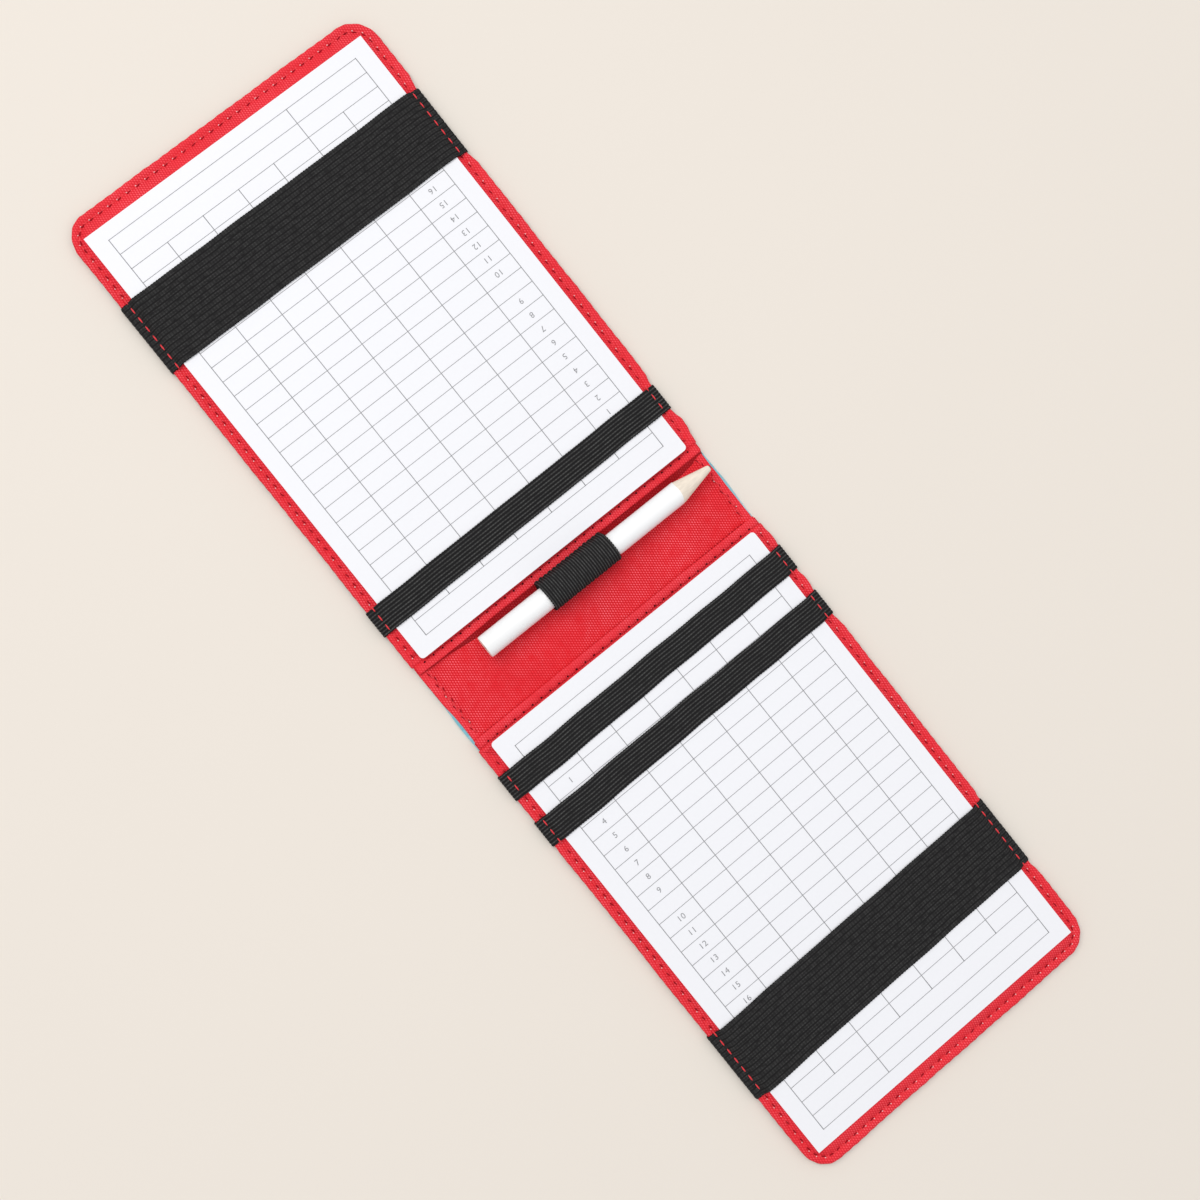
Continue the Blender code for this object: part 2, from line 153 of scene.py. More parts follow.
class HolderElastic(bpy.types.PropertyGroup):
    """Sizes and colours of the elastic bands and the pencil loop."""

    thickness: bpy.props.FloatProperty(
        name="Thickness", description="Thickness of the elastic between its ribs",
        default=0.55 * MM, subtype="DISTANCE", unit="LENGTH")
    rib_pitch: bpy.props.FloatProperty(
        name="Rib pitch", description="Distance between two ribs of a wide band",
        default=1.65 * MM, subtype="DISTANCE", unit="LENGTH")
    narrow_rib_pitch: bpy.props.FloatProperty(
        name="Narrow rib pitch", description="Distance between two ribs of a narrow band",
        default=1.1 * MM, subtype="DISTANCE", unit="LENGTH")
    rib_depth: bpy.props.FloatProperty(
        name="Rib depth", description="Height of a rib over its groove",
        default=0.26 * MM, subtype="DISTANCE", unit="LENGTH")
    loop_rib_pitch: bpy.props.FloatProperty(
        name="Loop rib pitch", description="Distance between two ribs of the pencil loop",
        default=1.73 * MM, subtype="DISTANCE", unit="LENGTH")
    pick_pitch: bpy.props.FloatProperty(
        name="Pick pitch", description="Distance between the cross yarns",
        default=1.0 * MM, subtype="DISTANCE", unit="LENGTH")
    black: bpy.props.FloatVectorProperty(
        name="Black", description="Colour of the elastic", default=(0.0115, 0.0110, 0.0114),
        size=3, subtype="COLOR")
    grey: bpy.props.FloatVectorProperty(
        name="Grey", description="Colour of the worn rib tops",
        default=(0.085, 0.085, 0.083), size=3, subtype="COLOR")


class HolderStitch(bpy.types.PropertyGroup):
    """Sizes and colour of the stitching."""

    pitch: bpy.props.FloatProperty(
        name="Pitch", description="Distance from one stitch to the next",
        default=3.5 * MM, subtype="DISTANCE", unit="LENGTH")
    length: bpy.props.FloatProperty(
        name="Length", description="Visible length of a stitch",
        default=2.3 * MM, subtype="DISTANCE", unit="LENGTH")
    width: bpy.props.FloatProperty(
        name="Width", description="Width of the thread",
        default=0.5 * MM, subtype="DISTANCE", unit="LENGTH")
    red: bpy.props.FloatVectorProperty(
        name="Thread red", description="Colour of the thread", default=(0.62, 0.012, 0.022),
        size=3, subtype="COLOR")


class HolderCard(bpy.types.PropertyGroup):
    """Sizes and colours of the score cards and their print."""

    margin: bpy.props.FloatProperty(
        name="Margin", description="Blank border at the inner end of a card",
        default=5.2 * MM, subtype="DISTANCE", unit="LENGTH")
    row_pitch: bpy.props.FloatProperty(
        name="Row pitch", description="Height of one row of the table",
        default=5.45 * MM, subtype="DISTANCE", unit="LENGTH")
    column_pitch: bpy.props.FloatProperty(
        name="Column pitch", description="Width of one column of the table",
        default=13.45 * MM, subtype="DISTANCE", unit="LENGTH")
    line_width: bpy.props.FloatProperty(
        name="Line width", description="Width of a printed line",
        default=0.19 * MM, subtype="DISTANCE", unit="LENGTH")
    digit_height: bpy.props.FloatProperty(
        name="Digit size", description="Size of the printed hole numbers",
        default=2.7 * MM, subtype="DISTANCE", unit="LENGTH")
    paper: bpy.props.FloatVectorProperty(
        name="Paper", description="Colour of the paper", default=(0.80, 0.80, 0.83),
        size=3, subtype="COLOR")
    ink: bpy.props.FloatVectorProperty(
        name="Ink", description="Colour of the print", default=(0.25, 0.25, 0.26),
        size=3, subtype="COLOR")


class HolderPencil(bpy.types.PropertyGroup):
    """Colours of the pencil."""

    paint: bpy.props.FloatVectorProperty(
        name="Paint", description="Colour of the painted casing",
        default=(0.88, 0.88, 0.88), size=3, subtype="COLOR")
    wood: bpy.props.FloatVectorProperty(
        name="Wood", description="Colour of the bare wood",
        default=(0.84, 0.74, 0.62), size=3, subtype="COLOR")
    scallop: bpy.props.FloatProperty(
        name="Scallop", description="Height of the waves where the paint ends",
        default=0.35 * MM, subtype="DISTANCE", unit="LENGTH")


class HolderStage(bpy.types.PropertyGroup):
    """Camera, light and floor."""

    camera_place: bpy.props.FloatVectorProperty(
        name="Camera place", description="Where the camera stands",
        default=(-0.0617, 0.0156, 0.5158), size=3, subtype="TRANSLATION")
    target: bpy.props.FloatVectorProperty(
        name="Target", description="The point that the camera looks at",
        default=(0.0014, -0.0033, 0.0048), size=3, subtype="TRANSLATION")
    heading: bpy.props.FloatProperty(
        name="Heading", description="Turn of the view's upward direction from +X",
        default=math.radians(51.1), subtype="ANGLE")
    lens: bpy.props.FloatProperty(
        name="Lens", description="Focal length in millimetres", default=50.0)
    floor: bpy.props.FloatVectorProperty(
        name="Floor", description="Colour of the floor", default=(0.746, 0.686, 0.616),
        size=3, subtype="COLOR")


# ---------------------------------------------------------------- materials

def add_node(tree, kind, inputs=None, **settings):
    """Add a shader node, set its fields, and set or link its inputs."""
    made = tree.nodes.new(kind)
    for field, value in settings.items():
        setattr(made, field, value)
    for socket, value in (inputs or {}).items():
        if isinstance(value, bpy.types.NodeSocket):
            tree.links.new(value, made.inputs[socket])
        else:
            made.inputs[socket].default_value = value
    return made


def new_material(name, roughness, **plain):
    """A Principled material. Returns it with its node tree and its shader."""
    material = bpy.data.materials.new(name)
    material.use_nodes = True
    tree = material.node_tree
    shader = tree.nodes["Principled BSDF"]
    shader.inputs["Roughness"].default_value = roughness
    for socket, value in plain.items():
        shader.inputs[socket.replace("_", " ")].default_value = value
    return material, tree, shader


def rgba(colour):
    """A colour with full cover."""
    return (*colour, 1.0)


def object_space(tree, scale=(1, 1, 1), turn=0.0):
    """Object coordinates, scaled and turned about Z."""
    place = add_node(tree, "ShaderNodeTexCoord")
    mapping = add_node(tree, "ShaderNodeMapping", {
        "Vector": place.outputs["Object"], "Scale": scale, "Rotation": (0.0, 0.0, turn)})
    return mapping.outputs["Vector"]


def mix_colours(tree, factor, first, second):
    """Blend two colours by a factor."""
    mix = add_node(tree, "ShaderNodeMix", data_type="RGBA")
    tree.links.new(factor, mix.inputs[0])
    for socket, value in ((mix.inputs[6], first), (mix.inputs[7], second)):
        if isinstance(value, bpy.types.NodeSocket):
            tree.links.new(value, socket)
        else:
            socket.default_value = rgba(value)
    return mix.outputs[2]


def ramp(tree, factor, low, high):
    """Stretch the part of a value between low and high to the range 0 to 1."""
    made = add_node(tree, "ShaderNodeMapRange", {
        "Value": factor, "From Min": low, "From Max": high})
    return made.outputs["Result"]


def wave(tree, vector, pitch, direction):
    """Stripes of a given pitch along X or Y of a vector in metres."""
    # A wave texture repeats 20 times over 2 pi units at a scale of 1
    made = add_node(tree, "ShaderNodeTexWave", {
        "Vector": vector, "Scale": 2 * math.pi / (20 * pitch)},
        wave_type="BANDS", bands_direction=direction)
    return made.outputs["Fac"]


def multiply(tree, first, second):
    """The product of two values."""
    made = add_node(tree, "ShaderNodeMath", {0: first, 1: second}, operation="MULTIPLY")
    return made.outputs["Value"]


def add_values(tree, first, second):
    """The sum of two values."""
    made = add_node(tree, "ShaderNodeMath", {0: first, 1: second}, operation="ADD")
    return made.outputs["Value"]


def cloud(tree, vector, scale, detail=3.0):
    """Soft random patches."""
    made = add_node(tree, "ShaderNodeTexNoise", {
        "Vector": vector, "Scale": scale, "Detail": detail})
    return made.outputs["Fac"]


def bump(tree, shader, height, strength, distance):
    """Raise a shader's surface by a height pattern."""
    made = add_node(tree, "ShaderNodeBump", {
        "Height": height, "Strength": strength, "Distance": distance})
    tree.links.new(made.outputs["Normal"], shader.inputs["Normal"])


def red_cloth(name, cloth, red, relief, contrast):
    """Red twill: slanting rows of raised yarns over an uneven ground, with painted shade in the
    grooves and painted highlights on the yarn tops. Contrast is 0 to 1.
    """
    material, tree, shader = new_material(name, 0.65, Specular_IOR_Level=0.22)
    rows = wave(tree, object_space(tree, turn=math.radians(-51)), cloth.weave_pitch, "X")
    slant = wave(tree, object_space(tree, turn=math.radians(9)), cloth.weave_pitch, "X")
    yarns = multiply(tree, rows, slant)
    flat = object_space(tree)
    # Painted shade: the grooves between the yarns are darker, and darker still in random patches
    patches = ramp(tree, cloud(tree, flat, 70.0), 0.3, 0.7)
    groove = 1 - 0.26 * contrast
    ground = mix_colours(tree, patches, [groove * c for c in red],
                         [0.84 * groove * c for c in red])
    shade = mix_colours(tree, ramp(tree, yarns, 0.0, 0.25), ground, red)
    # Painted highlight: the yarns' tops are lighter where they would catch the light, more in
    # some places than in others
    paler = multiply(tree, ramp(tree, yarns, 0.18, 0.95),
                    ramp(tree, cloud(tree, flat, 420.0), 0.15, 0.65))
    sheen = multiply(tree, ramp(tree, cloud(tree, flat, 45.0), 0.36, 0.62), 0.5)
    paler = multiply(tree, paler, add_values(tree, sheen, 0.5))
    light = [plain + (shiny - plain) * contrast
             for plain, shiny in zip(red, cloth.red_light)]
    colour = mix_colours(tree, paler, shade, light)
    tree.links.new(colour, shader.inputs["Base Color"])
    crumple = multiply(tree, cloud(tree, flat, 260.0, 2.0), cloud(tree, flat, 90.0, 1.0))
    height = add_values(tree, multiply(tree, yarns, 0.5 * contrast), crumple)
    bump(tree, shader, height, 0.7, relief)
    return material


def border_cloth(cloth):
    """The red cloth of the leaves' borders and of the hems, made once and then shared."""
    made = bpy.data.materials.get("red_border")
    return made or red_cloth("red_border", cloth, cloth.border_red, 0.26 * MM, 0.6)


def printed_cloth(cloth):
    """Pale coated cloth with a loose generic print of blue blotches and dark flecks."""
    material, tree, shader = new_material("printed_cloth", 0.55, Sheen_Weight=0.08)
    flat = object_space(tree)
    # The blue gathers along the spine and thins out towards the leaves' ends
    across = add_node(tree, "ShaderNodeSeparateXYZ", {"Vector": flat}).outputs["Y"]
    distance = add_node(tree, "ShaderNodeMath", {0: across}, operation="ABSOLUTE")
    spine = ramp(tree, distance.outputs["Value"], 45 * MM, 5 * MM)
    loose = add_values(tree, cloud(tree, flat, 75.0, 5.0), multiply(tree, spine, 0.14))
    blotches = ramp(tree, loose, 0.52, 0.60)
    colour = mix_colours(tree, blotches, cloth.ground, cloth.sky)
    veil = ramp(tree, cloud(tree, object_space(tree, turn=0.8), 25.0, 3.0), 0.45, 0.7)
    colour = mix_colours(tree, veil, colour, (0.78, 0.80, 0.83))
    stretched = object_space(tree, scale=(1.0, 0.45, 1.0), turn=0.5)
    flecks = ramp(tree, cloud(tree, stretched, 130.0, 6.0), 0.635, 0.65)
    colour = mix_colours(tree, flecks, colour, (0.03, 0.03, 0.035))
    tree.links.new(colour, shader.inputs["Base Color"])
    weave = multiply(tree, wave(tree, flat, 0.6 * MM, "X"), wave(tree, flat, 0.6 * MM, "Y"))
    bump(tree, shader, weave, 0.35, 0.08 * MM)
    return material


def ribbed_elastic(name, elastic, line_pitch, dotted, doubled=False):
    """Black woven elastic on a UV map in metres along and across the strap.

    Dotted is how much the cross yarns break up the lines, 0 to 1. Doubled makes every other
    line stronger.
    """
    material, tree, shader = new_material(name, 0.85, Specular_IOR_Level=0.12)
    strap = add_node(tree, "ShaderNodeUVMap", uv_map="strap").outputs["UV"]
    picks = wave(tree, strap, elastic.pick_pitch, "X")
    yarns = wave(tree, strap, line_pitch / 2, "Y")
    # Worn yarn lines along the strap, broken up by the cross yarns
    lines = ramp(tree, wave(tree, strap, line_pitch, "Y"), 0.5, 1.0)
    if doubled:
        strong = ramp(tree, wave(tree, strap, 2 * line_pitch, "Y"), 0.7, 1.0)
        lines = add_values(tree, multiply(tree, lines, 0.6), multiply(tree, strong, 0.35))
    broken = add_values(tree, multiply(tree, picks, dotted), 1.0 - dotted)
    stretched = add_node(tree, "ShaderNodeMapping", {
        "Vector": strap, "Scale": (0.3, 1.0, 1.0)}).outputs["Vector"]
    uneven = ramp(tree, cloud(tree, stretched, 1400.0), 0.30, 0.62)
    change = 0.95 if doubled else 0.65
    uneven = add_values(tree, multiply(tree, uneven, change), 1.0 - change)
    paler = multiply(tree, multiply(tree, lines, broken), uneven)
    colour = mix_colours(tree, paler, elastic.black, elastic.grey)
    tree.links.new(colour, shader.inputs["Base Color"])
    knit = multiply(tree, picks, yarns)
    bump(tree, shader, add_values(tree, knit, paler), 0.6, 0.14 * MM)
    return material


def thread_finish(stitch):
    """Glossy red thread with a fine twist."""
    material, tree, shader = new_material("sewing_thread", 0.42, Sheen_Weight=0.15)
    twist = wave(tree, object_space(tree, turn=0.7), 0.35 * MM, "X")
    colour = mix_colours(tree, twist, stitch.red, [min(1.0, 1.35 * c) for c in stitch.red])
    tree.links.new(colour, shader.inputs["Base Color"])
    bump(tree, shader, twist, 0.5, 0.06 * MM)
    return material


def knot_finish():
    """The pale under thread that shows at a needle hole."""
    material, tree, shader = new_material("under_thread", 0.5)
    patches = cloud(tree, object_space(tree), 1200.0)
    colour = mix_colours(tree, patches, (0.90, 0.42, 0.44), (0.95, 0.72, 0.72))
    tree.links.new(colour, shader.inputs["Base Color"])
    return material


def hole_finish(name, dark, light):
    """The dark of a needle hole, or the painted shadow in the dent beside a thread or in a seam.
    """
    material, tree, shader = new_material(name, 0.9, Specular_IOR_Level=0.1)
    patches = cloud(tree, object_space(tree), 900.0)
    colour = mix_colours(tree, patches, dark, light)
    tree.links.new(colour, shader.inputs["Base Color"])
    return material


def card_paper(card):
    """Smooth white card stock with a faint grain."""
    material, tree, shader = new_material("card_stock", 0.5)
    flat = object_space(tree)
    grain = cloud(tree, flat, 900.0, 4.0)
    colour = mix_colours(tree, grain, card.paper, [0.975 * c for c in card.paper])
    tree.links.new(colour, shader.inputs["Base Color"])
    bump(tree, shader, grain, 0.12, 0.03 * MM)
    return material


def card_ink(card):
    """Grey print, a little uneven."""
    material, tree, shader = new_material("card_ink", 0.6)
    patches = cloud(tree, object_space(tree), 400.0)
    colour = mix_colours(tree, patches, card.ink, [1.35 * c for c in card.ink])
    tree.links.new(colour, shader.inputs["Base Color"])
    return material


def pencil_paint(pencil):
    """White lacquer with faint brush waves."""
    material, tree, shader = new_material("pencil_paint", 0.32, Coat_Weight=0.25)
    shader.inputs["Coat Roughness"].default_value = 0.2
    streaks = cloud(tree, object_space(tree, scale=(0.1, 1.0, 1.0)), 700.0)
    colour = mix_colours(tree, streaks, pencil.paint, [0.96 * c for c in pencil.paint])
    tree.links.new(colour, shader.inputs["Base Color"])
    bump(tree, shader, streaks, 0.1, 0.03 * MM)
    return material


def pencil_wood(pencil):
    """Pale bare wood, with its grain along the pencil."""
    material, tree, shader = new_material("pencil_wood", 0.7)
    grain = cloud(tree, object_space(tree, scale=(0.12, 1.0, 1.0)), 1500.0, 5.0)
    dark = [0.86 * c for c in pencil.wood]
    colour = mix_colours(tree, ramp(tree, grain, 0.35, 0.7), pencil.wood, dark)
    tree.links.new(colour, shader.inputs["Base Color"])
    bump(tree, shader, grain, 0.3, 0.05 * MM)
    return material


def graphite():
    """Dark metallic grey lead."""
    material, tree, shader = new_material("graphite", 0.38, Metallic=0.25)
    grain = cloud(tree, object_space(tree), 3000.0)
    colour = mix_colours(tree, grain, (0.035, 0.035, 0.038), (0.075, 0.075, 0.08))
    tree.links.new(colour, shader.inputs["Base Color"])
    return material


def grey_board():
    """Raw grey board with fibres."""
    material, tree, shader = new_material("grey_board", 0.95)
    fibres = cloud(tree, object_space(tree, scale=(1.0, 0.3, 1.0)), 900.0, 6.0)
    colour = mix_colours(tree, fibres, (0.26, 0.24, 0.21), (0.44, 0.41, 0.37))
    tree.links.new(colour, shader.inputs["Base Color"])
    bump(tree, shader, fibres, 0.3, 0.08 * MM)
    return material


# ---------------------------------------------------------------- shapes

def finish_piece(bm, name, material, turned=False, crisp=False):
    """Make the object of a finished bmesh, turned half round for the lower side."""
    if turned:
        half_turn = Matrix.Rotation(math.pi, 3, "Z")
        bmesh.ops.rotate(bm, cent=(0.0, 0.0, 0.0), matrix=half_turn, verts=bm.verts)
    mesh = bpy.data.meshes.new(name)
    bm.to_mesh(mesh)
    bm.free()
    mesh.materials.append(material)
    mesh.shade_smooth()
    if crisp:
        mesh.set_sharp_from_angle(angle=math.radians(40))
    piece = bpy.data.objects.new(name, mesh)
    bpy.context.scene.collection.objects.link(piece)
    return piece


def thicken(piece, thickness):
    """Give an open surface its thickness, behind the side that its normals point to."""
    solidify = piece.modifiers.new("thickness", "SOLIDIFY")
    solidify.thickness = thickness
    solidify.offset = -1.0


def face_up(bm):
    """Turn a mostly level surface so that its normals point up."""
    bm.normal_update()
    if sum(face.normal.z * face.calc_area() for face in bm.faces) < 0:
        bmesh.ops.reverse_faces(bm, faces=bm.faces[:])


def smooth_line(points, steps):
    """Points on a smooth curve through the given ones, with steps between each pair."""
    points = [Vector(point) for point in points]
    line = []
    for i in range(len(points) - 1):
        before = points[max(i - 1, 0)]
        start, end = points[i], points[i + 1]
        after = points[min(i + 2, len(points) - 1)]
        for step in range(steps):
            t = step / steps
            line.append(0.5 * (2 * start + (end - before) * t
                               + (2 * before - 5 * start + 4 * end - after) * t ** 2
                               + (3 * start - before - 3 * end + after) * t ** 3))
    return line + [points[-1]]


def even_line(points, spacing):
    """The same line with points at even distances."""
    lengths = [0.0]
    for a, b in zip(points, points[1:]):
        lengths.append(lengths[-1] + (b - a).length)
    count = max(2, round(lengths[-1] / spacing))
    line = []
    i = 0
    for step in range(count + 1):
        wanted = lengths[-1] * step / count
        while i < len(points) - 2 and lengths[i + 1] < wanted:
            i += 1
        share = (wanted - lengths[i]) / (lengths[i + 1] - lengths[i])
        line.append(points[i].lerp(points[i + 1], share))
    return line


def wander(place, size, seed):
    """A smooth random value between -1 and 1 that changes over the given size."""
    return noise.noise(Vector((place / size, seed, 0.0)))


def soft_step(value):
    """A value held between 0 and 1, with a soft start and end."""
    value = max(0.0, min(1.0, value))
    return value * value * (3 - 2 * value)


def stitch_tug(run, stitch):
    """How hard the stitches pull at a place along their row: 1 at a needle hole, else less."""
    return math.cos(math.pi * run / stitch.pitch) ** 2


def blend_middle(piece):
    """Bake the transform of a piece at the middle of the spine into its mesh."""
    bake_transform(piece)


def blend_leaf(piece, turned):
    """Bake the transform of a piece at the fold between the spine and a leaf into its mesh, on
    either side.
    """
    if turned:
        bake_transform(piece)
    else:
        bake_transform(piece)


def strap(line, across, width, centre_shift, ribs, depth, elastic, seed):
    """An elastic strap along a line, with ribs, a scalloped edge and a UV map in metres."""
    samples = 5
    bm = bmesh.new()
    bmesh.ops.create_grid(bm, x_segments=len(line) - 1, y_segments=ribs * samples, size=0.5)
    layer = bm.loops.layers.uv.new("strap")
    tangents = [(line[min(i + 1, len(line) - 1)] - line[max(i - 1, 0)]).normalized()
                for i in range(len(line))]
    spacing = (line[1] - line[0]).length
    flat = {}
    for vert in bm.verts:
        i = round((vert.co.x + 0.5) * (len(line) - 1))
        column = round((vert.co.y + 0.5) * ribs * samples)
        share = column / (ribs * samples)
        run = i * spacing
        flat[vert] = (run, share * width)
        phase = 2 * (share * ribs % 1.0) - 1
        height = 0.85 + 0.3 * wander(share * ribs // 1, 0.7, seed)
        rise = depth * (1 - phase ** 4) * height
        offset = (share - 0.5) * width + 0.25 * MM * wander(run, 14 * MM, seed)
        if column in (0, ribs * samples):
            offset += 0.09 * MM * math.cos(2 * math.pi * run / elastic.pick_pitch)
        normal = tangents[i].cross(across)
        vert.co = line[i] + across * (offset + centre_shift(line[i])) + normal * rise
    for face in bm.faces:
        for loop in face.loops:
            loop[layer].uv = flat[loop.vert]
    return bm


def leaf_outline(radius, spacing):
    """Points round a leaf, counterclockwise, each with its outward direction and its run."""
    low_y, high_y = LEAF_LOW.y, LEAF_HIGH.y
    side = high_y - radius - low_y
    end = 2 * (HALF_WIDTH - radius)
    arc = math.pi / 2 * radius
    spans = [(side, lambda t: ((HALF_WIDTH, low_y + side * t), 0.0)),
             (arc, lambda t: (arc_point(HALF_WIDTH - radius, 0.0, t), 90.0 * t)),
             (end, lambda t: ((HALF_WIDTH - radius - end * t, high_y), 90.0)),
             (arc, lambda t: (arc_point(radius - HALF_WIDTH, 90.0, t), 90.0 + 90.0 * t)),
             (side, lambda t: ((-HALF_WIDTH, high_y - radius - side * t), 180.0)),
             (2 * HALF_WIDTH, lambda t: ((-HALF_WIDTH + 2 * HALF_WIDTH * t, low_y), 270.0))]

    def arc_point(centre_x, first_angle, t):
        angle = math.radians(first_angle + 90.0 * t)
        return (centre_x + radius * math.cos(angle),
                high_y - radius + radius * math.sin(angle))

    points = []
    run = 0.0
    for length, place in spans:
        steps = max(1, round(length / spacing))
        for step in range(steps):
            (x, y), degrees = place(step / steps)
            angle = math.radians(degrees)
            outward = Vector((math.cos(angle), math.sin(angle), 0.0))
            points.append((Vector((x, y, 0.0)), outward, run + length * step / steps))
        run += length
    return points


def drawn_in(point, outward, inset, radius):
    """A point of a leaf's outline moved inwards, without crossing itself in the corners."""
    moved = point - outward * min(inset, radius * 0.97)
    x_limit = HALF_WIDTH - inset
    moved.x = max(-x_limit, min(x_limit, moved.x))
    moved.y = max(LEAF_LOW.y + inset, min(LEAF_HIGH.y - inset, moved.y))
    return moved


def spread(point, side):
    """Move a place in a leaf's border outwards, as far as the soft cloth runs."""
    end, flank = BORDER_EXTRA[side]
    way = 1 if side == "upper" else -1
    clear = band_clearance(side, point.y)
    flank *= soft_step(min(clear / (5 * MM), (point.y - FOLD_Y - 1 * MM) / (7 * MM)))
    point.y += end * max(0.0, (point.y - LEAF_HIGH.y) / (6 * MM) + 1)
    point.x += way * flank * max(0.0, (way * point.x - HALF_WIDTH) / (4 * MM) + 1)
    return point


def ringed_sheet(outline, profile, shape):
    """A sheet built ring by ring from its edge inwards, then filled across the middle."""
    bm = bmesh.new()
    index = bm.verts.layers.int.new("outline_index")
    made = bmesh.ops.create_circle(bm, cap_ends=False, segments=len(outline), radius=1.0)
    for i, vert in enumerate(made["verts"]):
        vert[index] = i
        vert.co = shape(outline[i], *profile[0])
    ring = bm.edges[:]
    for inset, height in profile[1:]:
        swept = bmesh.ops.extrude_edge_only(bm, edges=ring)["geom"]
        for item in swept:
            if isinstance(item, bmesh.types.BMVert):
                item.co = shape(outline[item[index]], inset, height)
        ring = [item for item in swept if isinstance(item, bmesh.types.BMEdge)]
        ring = [edge for edge in ring if edge.is_boundary]
    bmesh.ops.edgeloop_fill(bm, edges=ring)
    bmesh.ops.remove_doubles(bm, verts=bm.verts, dist=0.001 * MM)
    face_up(bm)
    return bm


def band_clearance(side, y):
    """Distance from a place along a leaf to the nearest band, and below zero under one."""
    return min(abs(y - BAND_PLACES[side, band][0]) - BAND_PLACES[side, band][1] / 2
               for band in BANDS[side])


# ---------------------------------------------------------------- linings

# Millimetres in from a leaf's edge and up from the floor: out over the edge, down where the
# stitches pull, and up onto the board
LINING_PROFILE = [(0.0, 1.45), (-0.15, 1.9), (0.0, 2.4), (0.5, 2.82), (1.2, 2.86),
                  (1.8, 2.6), (2.1, 2.5), (2.45, 2.62), (3.0, 3.05), (3.7, 3.55),
                  (4.4, 3.92), (5.2, 4.12), (6.0, 4.2)]


class HOLDER_OT_linings(bpy.types.Operator):
    """Build the red linings of both leaves"""

    bl_idname = "holder.linings"
    bl_label = "Leaf linings"

    def execute(self, context):
        cloth = context.scene.holder_cloth
        stitch = context.scene.holder_stitch
        material = border_cloth(cloth)
        outline = leaf_outline(cloth.corner_radius, stitch.pitch / 6)
        profile = [(point.x * MM, point.y * MM) for point in smooth_line(
            [(inset, height, 0.0) for inset, height in LINING_PROFILE], 2)]
        for seed, (side, turned) in enumerate(SIDES):

            def shape(place, inset, height):
                point, outward, run = place
                near = math.exp(-((inset - STITCH_INSET) / (0.9 * MM)) ** 2)
                tug = stitch_tug(run, stitch)
                fade = math.exp(-(inset / (3.0 * MM)) ** 2)
                sway = cloth.waviness * wander(run, 17 * MM, seed * 9.1)
                sway += 0.4 * cloth.waviness * wander(run, 5 * MM, seed * 5.3 + 2)
                moved = drawn_in(point, outward, inset, cloth.corner_radius)
                moved += outward * fade * (sway + 0.1 * MM * (0.5 - tug))
                lumps = 0.22 * MM * wander(run, 7 * MM, seed * 3.7 + 1) * fade
                moved.z = height - cloth.pucker * tug * (0.4 + near) + lumps
                return spread(moved, side)

            bm = ringed_sheet(outline, profile, shape)
            piece = finish_piece(bm, f"{side}_lining_cloth", material, turned)
            thicken(piece, cloth.lining_thickness)
            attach(piece, f"{side}_leaf")
            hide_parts(f"{side}_lining")
        return {"FINISHED"}


# ---------------------------------------------------------------- cover

def cover_height(y):
    """Height of the cover's upper face: low under the spine and raised under a leaf."""
    low = SPINE_LINING_LOW.z - 0.35 * MM
    high = LINING_LOW.z - 0.42 * MM
    return low + (high - low) * soft_step((y - FOLD_Y + 2.0 * MM) / (5.0 * MM))


class HOLDER_OT_covers(bpy.types.Operator):
    """Build the outer cover: one cloth, in three pieces that meet behind the spine"""

    bl_idname = "holder.covers"
    bl_label = "Outer cover"

    def execute(self, context):
        cloth = context.scene.holder_cloth
        material = printed_cloth(cloth)
        seam_y = FOLD_Y / 2
        for seed, (side, turned) in enumerate(SIDES):
            piece = self.leaf_cover(side, turned, seam_y, seed, cloth, material)
            blend_leaf(piece, turned)
            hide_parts(f"{side}_cover")
        piece = self.spine_cover(seam_y, cloth, material)
        blend_middle(piece)
        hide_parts("spine_cover_upper", "spine_cover_lower")
        return {"FINISHED"}

    def leaf_cover(self, side, turned, seam_y, seed, cloth, material):
        """The cover of one leaf, as far as the middle of its half of the spine."""
        outline = leaf_outline(cloth.corner_radius, 1.2 * MM)
        stretch = LEAF_LOW.y + COVER_INSET - seam_y
        reach = 8 * MM

        def shape(place, inset, height):
            point, outward, run = place
            moved = drawn_in(point, outward, inset, cloth.corner_radius)
            if moved.y < LEAF_LOW.y + reach:
                share = (LEAF_LOW.y + reach - moved.y) / (reach - COVER_INSET)
                moved.y -= stretch * share
            moved.x *= 1 + edge_sway(moved.y, moved.x, cloth, seed) / HALF_WIDTH
            moved.z = cover_height(moved.y) - height
            return spread(moved, side)

        bm = ringed_sheet(outline, [(COVER_INSET, 0.0), (2.0 * MM, 0.0)], shape)
        # Close cuts let the cloth bend where it climbs from the spine to the board
        for step in range(1, 24):
            cut_y = seam_y + step * 0.75 * MM
            bmesh.ops.bisect_plane(bm, geom=bm.verts[:] + bm.edges[:] + bm.faces[:],
                                   plane_co=(0.0, cut_y, 0.0), plane_no=(0.0, 1.0, 0.0))
        for vert in bm.verts:
            vert.co.z = cover_height(vert.co.y)
        face_up(bm)
        piece = finish_piece(bm, f"{side}_cover_cloth", material, turned)
        thicken(piece, cloth.cover_thickness)
        return piece

    def spine_cover(self, seam_y, cloth, material):
        """The cover behind the middle of the spine."""
        bm = bmesh.new()
        bmesh.ops.create_grid(bm, x_segments=60, y_segments=32, size=0.5)
        for vert in bm.verts:
            x = vert.co.x * 2 * (HALF_WIDTH - COVER_INSET)
            y = vert.co.y * 2 * seam_y
            way = 1 if y > 0 else -1
            x *= 1 + edge_sway(way * y, way * x, cloth, 0 if y > 0 else 1) / HALF_WIDTH
            vert.co = (x, y, cover_height(abs(y)))
        piece = finish_piece(bm, "spine_cover_cloth", material)
        thicken(piece, cloth.cover_thickness)
        return piece


